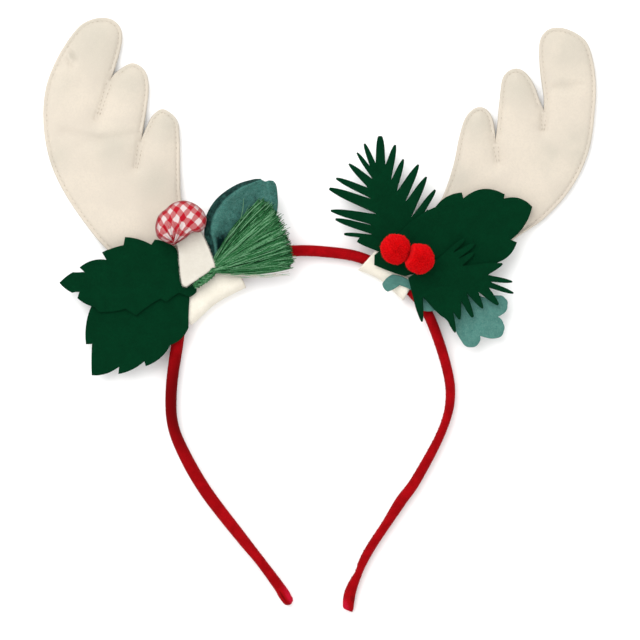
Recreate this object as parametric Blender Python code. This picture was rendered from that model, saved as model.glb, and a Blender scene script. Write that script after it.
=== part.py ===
"""Reindeer antler headband, lying on its back.

A springy velvet-covered band carries two padded felt antlers. Each antler's root stands against the
band's outer edge, and a folded felt wrap grips band and root together. Felt leaves, a stuffed gingham
mushroom and a thread tassel are stuck on the left wrap; fir sprigs, leaves and two pompoms on the right.

Tables are in millimetres as seen from the front: x to the right, y up the antlers, z towards the viewer
with the surface at z = 0. Meshes are in metres.
"""
import math

import bmesh
import bpy
import numpy as np
from mathutils.geometry import delaunay_2d_cdt

MM = 0.001
GAP = 0.3  # clear space between pieces that touch

# The band is a padded flat strip, deeper (z) than it looks from the front.
BAND_DEPTH = 6.5
BAND_LIFT = 1.5  # the back of the band above the surface, where the wraps hold it
LEG_END_Y = -125.0
BAND_SIDES = 12
BAND_STEP = 6.0
BAND_OVAL = 0.85  # power that flattens the oval section
BAND_END_DEPTH = 0.72  # share of its depth at the legs' cut ends

# Felt thicknesses
WRAP_FELT = 1.2
LEAF_FELT = 1.0
ANTLER_EDGE = 2.4  # two layers of felt
ANTLER_PAD = 6.2  # stuffed middle
PAD_RISE = 8.0  # distance from the edge at which the stuffing is full
ROOT_HELD = 12.0  # the root is at the wrap's height this far out, and comes down over the next stretch
ROOT_FALL = 45.0

LEAF_STEP = 3.0
LEAF_CELL = 8.0
ROW_SHARE = 0.87  # height of a staggered row of filling points, as a share of the cell
CLEAR_SHARE = 0.5  # least distance of a filling point from the edge, as a share of the cell

# Droop of the leaves beyond a wrap: the x where it starts, the stretch over which it grows, and the drop
LEFT_SAG = (-66.0, 50.0, 2.0)
RIGHT_SAG = (48.0, 44.0, 1.6)

# Levels of the stack on the wraps
WRAP_TOP = BAND_LIFT + BAND_DEPTH + GAP + WRAP_FELT
LEVEL_1 = WRAP_TOP + GAP
LEVEL_2 = LEVEL_1 + LEAF_FELT + GAP
LEVEL_3 = LEVEL_2 + LEAF_FELT + GAP
LEVEL_4 = LEVEL_3 + LEAF_FELT + GAP

POMPOM_RADIUS = 6.7
POMPOM_TUFT = 0.4
TUFT_EVERY = 4  # points of the ball for each tuft
POMPOM_LEAN = math.radians(22)  # tilt of the face where they press together
PRESSED_GAP = 0.4

# The band's centre line from the left leg's end over the top to the right leg's end.
BAND_ROWS = (
    # x, y, width seen from the front
    (-12.4, -123.4, 3.0),
    (-14.6, -120.4, 4.0),
    (-25.4, -106.2, 4.2),
    (-33.1, -96.5, 4.9),
    (-47.8, -77.5, 5.4),
    (-58.2, -59.8, 5.2),
    (-63.1, -46.5, 4.9),
    (-63.5, -31.0, 4.9),
    (-61.2, -14.0, 5.2),
    (-58.8, -2.0, 4.7),
    (-53.4, 8.2, 4.7),
    (-44.5, 17.2, 4.7),
    (-32.0, 23.7, 4.7),
    (-10.0, 27.4, 4.8),
    (10.0, 26.2, 4.8),
    (21.2, 23.2, 4.7),
    (30.5, 18.0, 4.6),
    (38.5, 11.2, 4.5),
    (47.1, -0.2, 4.5),
    (54.1, -19.6, 4.3),
    (56.6, -35.0, 4.1),
    (53.2, -49.6, 3.8),
    (42.2, -70.7, 4.4),
    (35.1, -80.6, 4.8),
    (28.9, -90.4, 4.0),
    (22.3, -100.0, 4.0),
    (18.0, -108.3, 3.7),
    (14.9, -116.4, 4.3),
    (13.1, -123.7, 4.6),
    (12.6, -127.4, 4.4),
)

# Antler edges: runs of smooth edge that meet at the notches between the tines, and the root's straight
# edge along the band. The seam between two tines runs from the notch to the slit's end.
LEFT_ANTLER = {
    "runs": (
        ((-59.3, 3.6), (-68, 12), (-78, 18.5), (-91, 28), (-100, 38.5), (-109.5, 52.5), (-115.8, 66.5),
         (-118.5, 82), (-117.6, 97), (-112.5, 110.5), (-104.5, 122.6), (-98, 126.9), (-91, 127.5),
         (-86.2, 124.3), (-85, 118), (-87.6, 107.5), (-90, 101)),
        ((-90, 101), (-87, 104.5), (-80.5, 108.1), (-75.2, 105), (-73.5, 98), (-74.5, 88), (-76.8, 74.5)),
        ((-76.8, 74.5), (-74.5, 80), (-71.6, 85.6), (-67, 88.3), (-61.4, 83.8), (-60.2, 76), (-60, 60),
         (-59.2, 48.5), (-54.5, 36), (-48.5, 27), (-45.6, 20.7)),
        ((-45.6, 20.7), (-50.6, 16.4), (-55.2, 11.2), (-59.3, 3.6)),
    ),
    "slits": (((-90, 101), (-95.5, 84.5)), ((-76.8, 74.5), (-78.5, 64))),
    "root": (-52.6, 13.6),
}
RIGHT_ANTLER = {
    "runs": (
        ((27.4, 24.6), (38, 34), (46, 42), (53, 50), (58, 64), (60.5, 76), (63.2, 84.6), (67.4, 88.8),
         (71.4, 88.7), (74.4, 85), (75.6, 79), (76, 74)),
        ((76, 74), (76.8, 80), (77.9, 92), (79.4, 102), (83.5, 105.6), (88, 104.8), (92.2, 99.5),
         (95.2, 91.5), (97, 87.5)),
        ((97, 87.5), (96.9, 94), (95.3, 106), (95.2, 117), (98.2, 122.2), (104, 123.4), (111, 120.8),
         (116, 115.6), (118.9, 103), (118.7, 88), (115.9, 70), (108.5, 54.5), (97.5, 42), (86, 34),
         (76, 26.5), (62, 19), (50, 16.2), (40.4, 14.9)),
        ((40.4, 14.9), (33.4, 20.8), (27.4, 24.6)),
    ),
    "slits": (((76, 74), (77, 66)), ((97, 87.5), (96.5, 80))),
    "root": (34.0, 19.8),
}
ANTLER_STEP = 3.0
ANTLER_CELL = 6.0

# Wraps: where the fold lies at each section, and which way the walls leave it.
LEFT_WRAP_ROWS = (
    # fold x, fold y, wall direction in degrees, wall length
    (-54.9, -4.6, 128.0, 24.0),
    (-50.4, -0.6, 125.0, 24.0),
    (-46.0, 3.2, 122.0, 24.0),
    (-40.0, 7.4, 118.0, 24.0),
    (-31.4, 11.4, 114.0, 22.0),
)
RIGHT_WRAP_ROWS = (
    (16.8, 19.0, 48.0, 17.5),
    (22.3, 17.0, 52.0, 17.5),
    (28.6, 13.2, 56.0, 17.5),
    (36.2, 6.0, 62.0, 17.5),
)
FOLD_SEGMENTS = 8

# Leaf edges, anticlockwise: each row is a point and how far the edge after it swells outwards.
UPPER_LEAF = (
    # x, y, swell
    (-111.6, 13.6, 0.4), (-106.0, 9.3, -0.2), (-103.0, 9.6, 0.0), (-103.8, 7.0, 0.5), (-96.3, 3.0, 0.0),
    (-94.5, 1.0, 0.5), (-83.0, 2.4, 0.0), (-78.5, -0.6, -0.4), (-68.0, 6.8, 0.0), (-65.5, 5.2, -0.3),
    (-60.0, 9.2, 0.0), (-55.5, 7.4, 0.2), (-52.6, 9.6, 0.3), (-53.2, 12.8, 0.4), (-58.0, 18.0, 0.5),
    (-61.5, 28.5, 0.8), (-70.5, 32.2, 0.0), (-72.0, 30.0, 0.7), (-83.3, 33.3, 0.0), (-84.0, 29.8, 0.3),
    (-93.2, 26.7, 0.0), (-91.3, 23.5, 1.4), (-102.9, 20.2, 0.0), (-100.9, 18.3, -0.1), (-105.8, 18.2, 0.3),
)
LOWER_LEAF = (
    (-97.4, 4.6, 1.3), (-100.2, -12.8, 0.0), (-97.6, -12.7, 0.2), (-97.7, -26.2, 1.2), (-85.9, -22.4, 0.0),
    (-86.2, -25.6, 0.9), (-75.0, -20.1, 0.0), (-74.4, -22.2, 1.4), (-63.8, -13.1, 1.3), (-56.0, -5.5, -0.2),
    (-55.6, 7.0, 0.4), (-60.0, 14.0, 1.5), (-78.0, 18.0, 2.0),
)
RIGHT_LEAF = (
    (23.7, 21.3, 0.3), (37.0, 16.4, -1.0), (55.0, 19.0, 1.0), (76.8, 22.3, 1.5), (85.0, 31.0, 0.0),
    (82.4, 32.1, 1.6), (91.6, 46.3, 2.0), (79.4, 49.8, 0.0), (79.8, 51.6, 3.2), (62.0, 49.9, 0.0),
    (61.3, 52.4, 1.5), (50.0, 46.2, 0.6), (38.0, 38.5, -0.3), (23.8, 25.5, 0.0),
)
OAK_LEAF = (
    (27.2, 13.2, 0.6), (29.5, 9.8, 0.3), (34.6, 12.6, -0.3), (41.0, 9.6, -0.3), (44.6, 1.6, 0.3),
    (49.7, 1.6, -0.8), (59.0, -6.5, 0.8), (65.5, -14.3, 1.3), (69.2, -9.6, 0.3), (75.6, -10.6, 1.1),
    (79.8, -5.6, 0.8), (76.8, -0.8, 0.6), (81.2, 4.4, 1.2), (75.2, 8.0, 0.4), (70.0, 6.0, -1.2),
    (56.0, 14.0, 0.4), (38.0, 15.2, 0.4), (31.5, 17.2, 0.5),
)

# Fir sprigs: one row for each cut needle, going round the sprig anticlockwise.
UPPER_FIR = (
    # needle tip x, y, notch after it x, y
    (47.0, 44.9, 45.4, 44.0), (50.0, 53.6, 39.8, 42.0), (46.2, 59.2, 37.3, 48.6), (42.8, 64.5, 33.4, 52.8),
    (36.3, 66.8, 31.0, 57.8), (32.8, 73.0, 28.6, 64.4), (26.3, 76.9, 24.3, 65.2), (19.5, 73.5, 21.7, 64.0),
    (16.3, 69.6, 22.8, 58.4), (12.8, 64.8, 20.8, 54.6), (7.3, 58.6, 22.3, 49.8), (4.3, 54.2, 24.6, 43.2),
    (5.0, 44.7, 22.5, 38.5), (7.0, 41.0, 22.8, 34.4), (10.7, 34.6, 17.4, 33.0), (16.3, 31.6, 25.0, 27.2),
    (37.4, 27.4, 38.5, 34.5),
)
LOWER_FIR = (
    (44.2, -3.2, 44.0, 9.4), (58.0, -7.8, 57.6, 1.0), (60.3, -2.2, 61.0, 5.6), (66.0, -1.3, 63.4, 9.2),
    (70.3, 2.6, 68.4, 9.6), (77.0, 4.1, 73.0, 11.4), (83.5, 9.1, 73.6, 14.0), (83.0, 14.0, 72.6, 17.0),
    (78.8, 21.7, 61.6, 20.9), (66.6, 26.6, 60.0, 24.0), (67.0, 30.5, 57.5, 26.5), (62.6, 32.6, 51.0, 24.0),
    (43.0, 19.0, 38.2, 15.8),
)
NEEDLE_TIP = 0.9  # width of a cut needle's end

# Mushroom: the cap's edge as seen from the front, and how far its gathers are drawn in
CAP_CENTRE = (-59.0, 39.6)
CAP_HALF_HEIGHT = 5.6
CAP_RINGS = 10
CAP_PLEATS = 9
CAP_PLEAT_DEPTH = 0.05
CAP_EDGE = (
    # x, y, anticlockwise
    (-48.1, 40.8), (-49.1, 43.7), (-51.1, 45.9), (-52.9, 47.2), (-55.1, 48.2), (-58.1, 48.8), (-60.8, 48.3),
    (-63.0, 47.4), (-64.7, 46.1), (-66.0, 44.8), (-67.6, 43.7), (-68.9, 42.1), (-69.7, 40.0), (-70.1, 37.8),
    (-70.0, 35.6), (-69.6, 33.8), (-68.7, 32.6), (-67.1, 31.7), (-64.5, 30.4), (-62.2, 29.6), (-60.6, 30.6),
    (-58.4, 32.0), (-56.2, 33.5), (-54.9, 34.8), (-53.4, 35.3), (-51.6, 35.2), (-50.0, 35.9), (-48.7, 37.6),
)
STEM_OUTLINE = (
    # x, y, swell; from the left foot, anticlockwise; the top is tucked under the cap
    (-58.6, 12.7, 0.3), (-55.6, 12.3, 0.1), (-45.4, 19.8, 0.2), (-44.9, 21.6, 0.2), (-50.4, 35.4, 0.0),
    (-52.2, 36.0, 0.0), (-56.4, 34.8, 0.0), (-61.3, 30.9, -0.3), (-60.1, 25.5, 0.2),
)
STEM_FELT = 1.6

# Teal leaf: sections from its pinched base to its tip. The rim is a crest between a hollow and an
# outer side that turns down.
TEAL_ROWS = (
    # left edge x, y, left crest x, y, hollow x, y, right crest x, y, right edge x, y, rise of rim, hollow
    (-46.4, 22.0, -43.8, 23.4, -42.2, 22.6, -41.0, 21.4, -40.0, 20.4, 1.0, 0.2),
    (-49.0, 29.2, -44.8, 29.6, -40.6, 26.4, -36.0, 24.0, -34.0, 22.0, 2.9, 0.3),
    (-49.2, 35.6, -46.0, 35.6, -38.4, 31.0, -29.0, 28.2, -26.6, 26.0, 4.8, 0.5),
    (-48.2, 42.6, -44.6, 42.2, -35.2, 37.4, -23.6, 36.4, -20.2, 35.6, 5.6, 0.7),
    (-43.6, 49.9, -40.2, 48.8, -31.6, 44.2, -20.6, 45.4, -17.9, 45.6, 5.8, 1.0),
    (-35.8, 55.5, -34.0, 53.8, -28.0, 49.6, -21.4, 51.8, -17.9, 51.4, 5.4, 1.8),
    (-28.6, 57.9, -28.0, 56.6, -25.4, 54.2, -21.9, 55.2, -18.5, 55.6, 5.0, 3.0),
    (-25.2, 58.3, -24.6, 57.7, -23.2, 57.0, -21.4, 57.4, -19.6, 57.3, 4.0, 3.4),
)
TEAL_RIGHT_RISE = (0.2, 0.3, 0.4, 0.6, 1.2, 2.8, 4.0, 3.8)
TEAL_TURN_DOWN = 2.6

# Tassel: a bound neck, then locks of thread fanning from it.
TASSEL_NECK = (
    # x, y, direction in degrees, half width
    (-53.2, 11.4, 38.0, 1.0),
    (-49.3, 14.6, 37.0, 1.2),
    (-46.1, 16.8, 34.0, 1.4),
)
TASSEL_APEX = (-46.6, 17.6)
TASSEL_LOCKS = (
    # direction in degrees, length
    (1.5, 34.8), (7.0, 34.8), (12.0, 35.8), (17.0, 37.2), (22.0, 37.4), (27.0, 37.8), (32.0, 37.0),
    (37.0, 37.8), (42.0, 37.8), (47.5, 38.6), (53.5, 40.0),
)
TASSEL_RINGS = 5
TASSEL_FIRST_RING = 0.06  # share of a lock's length
TASSEL_RISE = 2.8
TASSEL_FLATTER = 0.45  # share of the rise that is lost at the locks' ends
TASSEL_SIDE_SHARE = 0.55  # share of the rise at the fan's two sides
NECK_SIDE_SHARE = 0.35
FURROW = 0.72  # rise between two locks, as a share of theirs
LOCK_POINT = 1.6  # how far a lock's end stands past the furrow beside it
TASSEL_LIFT = 0.9  # rise of the fan's under side towards its end, over the teal leaf
TASSEL_NECK_HEIGHT = 2.2

POMPOMS = (
    # name, x, y, height it sits at
    ("pompom_left", 32.9, 28.0, LEVEL_3 + 0.2),
    ("pompom_right", 42.9, 23.9, LEVEL_4),
)

# name, base colour, roughness
FINISHES = {
    "red_velvet": ((0.38, 0.004, 0.010), 0.85),
    "cream_felt": ((0.80, 0.72, 0.58), 0.95),
    "ivory_felt": ((0.89, 0.84, 0.72), 0.95),
    "green_felt": ((0.006, 0.040, 0.018), 0.95),
    "teal_felt": ((0.075, 0.200, 0.175), 0.95),
    "oak_felt": ((0.110, 0.310, 0.260), 0.95),
    "gingham": ((0.72, 0.22, 0.26), 0.90),
    "green_thread": ((0.110, 0.290, 0.150), 0.80),
    "red_pile": ((0.62, 0.010, 0.012), 0.95),
}


def clear_scene():
    for item in list(bpy.data.objects):
        bpy.data.objects.remove(item, do_unlink=True)


def finish(name):
    """The named material, made once."""
    if name in bpy.data.materials:
        return bpy.data.materials[name]
    colour, roughness = FINISHES[name]
    material = bpy.data.materials.new(name)
    material.use_nodes = True
    shader = material.node_tree.nodes["Principled BSDF"]
    shader.inputs["Base Color"].default_value = (*colour, 1.0)
    shader.inputs["Roughness"].default_value = roughness
    shader.inputs["Metallic"].default_value = 0.0
    return material


def add_piece(collection, name, points, faces, finish_name, smooth_angle=40.0):
    """One sub-part from points in millimetres; faces are turned outwards."""
    mesh = bpy.data.meshes.new(name)
    mesh.from_pydata((np.asarray(points, float) * MM).tolist(), [], [list(face) for face in faces])
    work = bmesh.new()
    work.from_mesh(mesh)
    bmesh.ops.recalc_face_normals(work, faces=work.faces)
    work.to_mesh(mesh)
    work.free()
    mesh.shade_smooth()
    mesh.set_sharp_from_angle(angle=math.radians(smooth_angle))
    mesh.materials.append(finish(finish_name))
    piece = bpy.data.objects.new(name, mesh)
    collection.objects.link(piece)
    return piece


def smooth_curve(rows, step):
    """Points about step apart along a Catmull-Rom curve through the rows; every column is carried."""
    rows = np.asarray(rows, float)
    padded = np.vstack((2 * rows[0] - rows[1], rows, 2 * rows[-1] - rows[-2]))
    points = []
    for a, b, c, d in zip(padded, padded[1:], padded[2:], padded[3:]):
        count = max(1, round(math.dist(b[:2], c[:2]) / step))
        for t in np.arange(count) / count:
            points.append(0.5 * (2 * b + (c - a) * t + (2 * a - 5 * b + 4 * c - d) * t**2
                                 + (3 * b - a - 3 * c + d) * t**3))
    points.append(rows[-1])
    return np.array(points)


def swelled_outline(rows, step):
    """Closed outline through (x, y, swell) rows, anticlockwise: each edge bows outwards by its swell."""
    points = []
    for (x, y, swell), (next_x, next_y, _) in zip(rows, (*rows[1:], rows[0])):
        run, rise = next_x - x, next_y - y
        chord = math.hypot(run, rise)
        count = max(1, round(chord / step)) if swell else 1
        for t in np.arange(count) / count:
            bow = 4 * swell * t * (1 - t) / chord
            points.append((x + run * t + rise * bow, y + rise * t - run * bow))
    return np.array(points)


def needle_outline(rows):
    """Closed outline of a sprig: every needle runs from its notch to a narrow cut tip and back."""
    points = []
    for before, row in zip((rows[-1], *rows[:-1]), rows):
        tip, notch, last_notch = np.array(row[:2]), np.array(row[2:]), np.array(before[2:])
        base = (notch + last_notch) / 2
        along = (tip - base) / math.dist(tip, base)
        across = np.array((along[1], -along[0])) * NEEDLE_TIP / 2
        points += [tip + across, tip - across, notch]
    return np.array(points)


def edge_distance(points, outline):
    """Distance from each point to the nearest of the closed outline's edges."""
    start, end = outline, np.roll(outline, -1, axis=0)
    along = end - start
    offset = points[:, None] - start[None]
    t = np.clip((offset * along).sum(2) / (along**2).sum(1), 0, 1)
    return np.linalg.norm(offset - t[..., None] * along, axis=2).min(axis=1)


def fill(outline, cell):
    """Triangles inside a closed outline, with inner points on a staggered grid of the given cell."""
    low, high = outline.min(0), outline.max(0)
    grid = [(x + cell / 2 * (row % 2), y)
            for row, y in enumerate(np.arange(low[1], high[1], cell * ROW_SHARE))
            for x in np.arange(low[0], high[0], cell)]
    grid = np.array(grid)
    grid = grid[edge_distance(grid, outline) > CLEAR_SHARE * cell]
    count = len(outline)
    edges = [(k, (k + 1) % count) for k in range(count)]
    points, _, faces, *_ = delaunay_2d_cdt(
        [tuple(p) for p in (*outline, *grid)], edges, [], 1, 1e-5)
    points = np.array([tuple(p) for p in points])
    used = sorted({k for face in faces for k in face})
    place = {old: new for new, old in enumerate(used)}
    return points[used], [tuple(place[k] for k in face) for face in faces]


def rim_edges(faces):
    """Edges that only one face has, in that face's direction."""
    seen = {}
    for face in faces:
        for a, b in zip(face, (*face[1:], face[0])):
            seen[(a, b)] = seen.get((a, b), 0) + 1
    return [(a, b) for a, b in seen if (b, a) not in seen]


def solid_between(flat, faces, low, high):
    """Closed solid between two height fields over the same filled outline."""
    count = len(flat)
    points = np.vstack((np.column_stack((flat, high)), np.column_stack((flat, low))))
    shell = [tuple(face) for face in faces]
    shell += [tuple(k + count for k in reversed(face)) for face in faces]
    shell += [(b, a, a + count, b + count) for a, b in rim_edges(faces)]
    return points, shell


def loft(rings):
    """Closed solid through rings of equal point count, capped at both ends."""
    rings = np.asarray(rings, float)
    count, sides = rings.shape[:2]
    faces = [(r * sides + k, r * sides + (k + 1) % sides,
              (r + 1) * sides + (k + 1) % sides, (r + 1) * sides + k)
             for r in range(count - 1) for k in range(sides)]
    faces.append(tuple(range(sides)))
    faces.append(tuple(reversed(range((count - 1) * sides, count * sides))))
    return rings.reshape(-1, 3), faces


def smoothstep(value):
    value = np.clip(value, 0, 1)
    return value * value * (3 - 2 * value)


def headband(collection):
    """The velvet-covered band: a flat oval carried along the arch, its legs coming down to the surface."""
    rows = smooth_curve(BAND_ROWS, BAND_STEP)
    tangent = np.gradient(rows[:, :2], axis=0)
    tangent /= np.linalg.norm(tangent, axis=1)[:, None]
    side = np.column_stack((-tangent[:, 1], tangent[:, 0]))
    angle = np.arange(BAND_SIDES) * 2 * math.pi / BAND_SIDES
    across = np.sign(np.cos(angle)) * np.abs(np.cos(angle)) ** BAND_OVAL
    depth = np.sign(np.sin(angle)) * np.abs(np.sin(angle)) ** BAND_OVAL
    lift = BAND_LIFT * smoothstep(1 - rows[:, 1] / LEG_END_Y)
    rings = []
    for k, (x, y, width) in enumerate(rows):
        half_depth = BAND_DEPTH / 2 * (BAND_END_DEPTH if k in (0, len(rows) - 1) else 1.0)
        flat = np.array((x, y)) + across[:, None] * side[k] * width / 2
        height = lift[k] + BAND_DEPTH / 2 + depth * half_depth
        rings.append(np.column_stack((flat, height)))
    points, faces = loft(rings)
    add_piece(collection, "headband", points, faces, "red_velvet")


def antler(collection, name, shape):
    """Two felt layers stitched round the edge and stuffed; the root rises to the wrap's middle."""
    runs = [smooth_curve(run, ANTLER_STEP)[:-1] for run in shape["runs"]]
    outline = np.vstack(runs)
    flat, faces = fill(outline, ANTLER_CELL)
    distance = edge_distance(flat, outline)
    for start, end in shape["slits"]:
        slit = np.array((start, end), float)
        distance = np.minimum(distance, edge_distance(flat, slit))
    rise = np.sqrt(1 - (1 - np.clip(distance / PAD_RISE, 0, 1)) ** 2)
    half = (ANTLER_EDGE + (ANTLER_PAD - ANTLER_EDGE) * rise) / 2
    near_root = smoothstep(1 - (np.linalg.norm(flat - shape["root"], axis=1) - ROOT_HELD) / ROOT_FALL)
    middle = ANTLER_PAD / 2 + (BAND_LIFT + (BAND_DEPTH - ANTLER_PAD) / 2) * near_root
    points, shell = solid_between(flat, faces, middle - half, middle + half)
    add_piece(collection, name, points, shell, "cream_felt")


def wrap(collection, name, rows):
    """A felt strip folded round the inner side of band and root: a U section carried along the fold."""
    outer, inner = WRAP_TOP / 2, WRAP_TOP / 2 - WRAP_FELT
    bend = np.linspace(-math.pi / 2, math.pi / 2, FOLD_SEGMENTS + 1)
    rings = []
    for x, y, direction, length in rows:
        out_n, out_z = outer - outer * np.cos(bend), outer + outer * np.sin(bend)
        in_n, in_z = outer - inner * np.cos(bend), outer + inner * np.sin(bend)
        reach = np.concatenate(([length], out_n, [length, length], in_n[::-1], [length]))
        height = np.concatenate(([0.0], out_z, [WRAP_TOP, WRAP_TOP - WRAP_FELT], in_z[::-1], [WRAP_FELT]))
        way = np.array((math.cos(math.radians(direction)), math.sin(math.radians(direction))))
        rings.append(np.column_stack((np.array((x, y)) + reach[:, None] * way, height)))
    points, faces = loft(rings)
    add_piece(collection, name, points, faces, "ivory_felt")


def leaf(collection, name, outline, height, finish_name):
    """A cut felt leaf: its under side follows the height function."""
    flat, faces = fill(outline, LEAF_CELL)
    low = height(flat[:, 0], flat[:, 1])
    points, shell = solid_between(flat, faces, low, low + LEAF_FELT)
    add_piece(collection, name, points, shell, finish_name)


def sag(outwards, droop):
    """How far leaves droop beyond the wrap, where outwards grows away from it."""
    start, stretch, drop = droop
    return drop * smoothstep((outwards - abs(start)) / stretch)


def mushroom(collection):
    """A stuffed gingham cap, an oval ball with the photo's edge, gathered towards its felt stem."""
    edge = np.array(CAP_EDGE) - CAP_CENTRE
    angle = np.arctan2(edge[:, 1], edge[:, 0])
    gathered = np.clip(-np.sin(angle), 0, 1)
    rings = []
    for down in np.linspace(0, math.pi, CAP_RINGS + 2)[1:-1]:
        pleat = 1 + CAP_PLEAT_DEPTH * np.cos(CAP_PLEATS * angle) * gathered * abs(math.cos(down))
        flat = CAP_CENTRE + edge * (pleat * math.sin(down))[:, None]
        height = LEVEL_3 + CAP_HALF_HEIGHT * (1 + math.cos(down))
        rings.append(np.column_stack((flat, np.full(len(flat), height))))
    points, faces = loft(rings)
    add_piece(collection, "mushroom_cap", points, faces, "gingham")


def mushroom_stem(collection):
    """The felt stem, tucked against the cap's lower edge."""
    outline = swelled_outline(STEM_OUTLINE, LEAF_STEP)
    flat, faces = fill(outline, LEAF_CELL)
    low = np.full(len(flat), LEVEL_3)
    points, shell = solid_between(flat, faces, low, low + STEM_FELT)
    add_piece(collection, "mushroom_stem", points, shell, "ivory_felt")


def teal_leaf(collection):
    """A felt leaf pinched at its base into a cup, rim up, the edge outside the rim turned down."""
    rows = []
    for row, right_rise in zip(TEAL_ROWS, TEAL_RIGHT_RISE):
        edge_l, crest_l, hollow, crest_r, edge_r = np.array(row[:10]).reshape(5, 2)
        left_rise, dip = row[10:]
        section = [(*edge_l, max(0.0, left_rise - TEAL_TURN_DOWN)), (*crest_l, left_rise),
                   (*((crest_l + hollow) / 2), (left_rise + 3 * dip) / 4), (*hollow, dip),
                   (*((crest_r + hollow) / 2), (right_rise + 3 * dip) / 4 if right_rise > dip else dip),
                   (*crest_r, right_rise), (*edge_r, max(0.0, right_rise - TEAL_TURN_DOWN))]
        rows.append([(x, y, rise + LEVEL_1) for x, y, rise in section])
    low = np.array(rows)
    high = low + (0, 0, LEAF_FELT)
    rings = [np.vstack((bottom, top[::-1])) for bottom, top in zip(low, high)]
    points, faces = loft(rings)
    add_piece(collection, "teal_leaf", points, faces, "teal_felt", 60.0)


def tassel(collection):
    """Locks of thread, fused side by side and to the bound neck that they fan from."""
    sides = 2 * len(TASSEL_LOCKS) + 1
    spread = np.linspace(-1, 1, sides)
    on_lock = np.arange(sides) % 2 == 1
    ridge = np.where(on_lock, 1.0, FURROW)
    rings = []
    for x, y, direction, half in TASSEL_NECK:
        heading = math.radians(direction)
        across = np.array((-math.sin(heading), math.cos(heading)))
        flat = np.array((x, y)) + spread[:, None] * half * across
        crown = TASSEL_NECK_HEIGHT * (NECK_SIDE_SHARE + (1 - NECK_SIDE_SHARE) * np.sqrt(1 - spread**2))
        rings.append((flat, 0.0, crown))
    centre = np.radians([row[0] for row in TASSEL_LOCKS])
    length = np.array([row[1] for row in TASSEL_LOCKS])
    half_step = np.diff(centre).mean() / 2
    heading = np.interp(np.arange(sides), np.arange(1, sides, 2), centre)
    heading[0], heading[-1] = centre[0] - half_step, centre[-1] + half_step
    reach = np.interp(np.arange(sides), np.arange(1, sides, 2), length)
    reach = np.where(on_lock, reach, reach - LOCK_POINT)
    rounded = TASSEL_SIDE_SHARE + (1 - TASSEL_SIDE_SHARE) * np.sqrt(1 - spread**2)
    for t in np.linspace(TASSEL_FIRST_RING, 1.0, TASSEL_RINGS):
        way = np.column_stack((np.cos(heading), np.sin(heading)))
        flat = np.array(TASSEL_APEX) + way * (reach * t)[:, None]
        crown = TASSEL_RISE * ridge * (1 - TASSEL_FLATTER * t) * rounded
        rings.append((flat, TASSEL_LIFT * t * t, crown))
    solids = []
    for flat, lift, crown in rings:
        base = LEVEL_3 + lift
        top = np.column_stack((flat, base + crown))
        bottom = np.column_stack((flat, np.full(sides, base)))
        solids.append(np.vstack((bottom, top[::-1])))
    points, faces = loft(solids)
    add_piece(collection, "tassel", points, faces, "green_thread", 25.0)


def wool_ball():
    """Points and faces of a trimmed ball of wool: tufts stand a little proud of it, fused to it."""
    work = bmesh.new()
    bmesh.ops.create_icosphere(work, subdivisions=3, radius=POMPOM_RADIUS)
    points = np.array([tuple(vertex.co) for vertex in work.verts])
    faces = [[vertex.index for vertex in face.verts] for face in work.faces]
    work.free()
    tufts = np.arange(len(points)) % TUFT_EVERY == 0
    return points * (1 + tufts[:, None] * POMPOM_TUFT / POMPOM_RADIUS), faces


def pompoms(collection):
    """Two balls of wool pressed together, the left one leaning over the right one."""
    ball, faces = wool_ball()
    centres = [np.array((x, y, base - ball[:, 2].min())) for _, x, y, base in POMPOMS]
    between = (centres[1] - centres[0]) * (1, 1, 0)
    press = between / np.linalg.norm(between) * math.cos(POMPOM_LEAN) - (0, 0, math.sin(POMPOM_LEAN))
    middle = (centres[0] + centres[1]) / 2
    for (name, *_), centre, side in zip(POMPOMS, centres, (-1, 1)):
        points = ball + centre
        short = np.clip(PRESSED_GAP / 2 - side * (points - middle) @ press, 0, None)
        points = points + side * short[:, None] * press
        add_piece(collection, name, points, faces, "red_pile", 60.0)


def build():
    clear_scene()
    collection = bpy.data.collections.new("reindeer_antler_headband")
    bpy.context.scene.collection.children.link(collection)
    headband(collection)
    antler(collection, "left_antler", LEFT_ANTLER)
    antler(collection, "right_antler", RIGHT_ANTLER)
    wrap(collection, "left_wrap", LEFT_WRAP_ROWS)
    wrap(collection, "right_wrap", RIGHT_WRAP_ROWS)
    leaf(collection, "left_leaf_lower", swelled_outline(LOWER_LEAF, LEAF_STEP),
         lambda x, y: LEVEL_1 - sag(-x, LEFT_SAG), "green_felt")
    leaf(collection, "left_leaf_upper", swelled_outline(UPPER_LEAF, LEAF_STEP),
         lambda x, y: LEVEL_2 - sag(-x, LEFT_SAG), "green_felt")
    teal_leaf(collection)
    tassel(collection)
    mushroom(collection)
    mushroom_stem(collection)
    leaf(collection, "oak_leaf", swelled_outline(OAK_LEAF, LEAF_STEP),
         lambda x, y: LEVEL_1 - sag(x, RIGHT_SAG), "oak_felt")
    leaf(collection, "fir_sprig_upper", needle_outline(UPPER_FIR),
         lambda x, y: np.full(len(x), LEVEL_1), "green_felt")
    leaf(collection, "right_leaf", swelled_outline(RIGHT_LEAF, LEAF_STEP),
         lambda x, y: LEVEL_2 - sag(x, RIGHT_SAG), "green_felt")
    leaf(collection, "fir_sprig_lower", needle_outline(LOWER_FIR),
         lambda x, y: LEVEL_3 - sag(x, RIGHT_SAG), "green_felt")
    pompoms(collection)


build()
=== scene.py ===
"""A reindeer antler headband, dressed piece by piece in the order in which it is put together.

Tables are in millimetres as seen from the front: x to the right, y up the antlers, z towards the viewer
from the surface that it lies on. Meshes are in metres.
"""
import math

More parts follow.
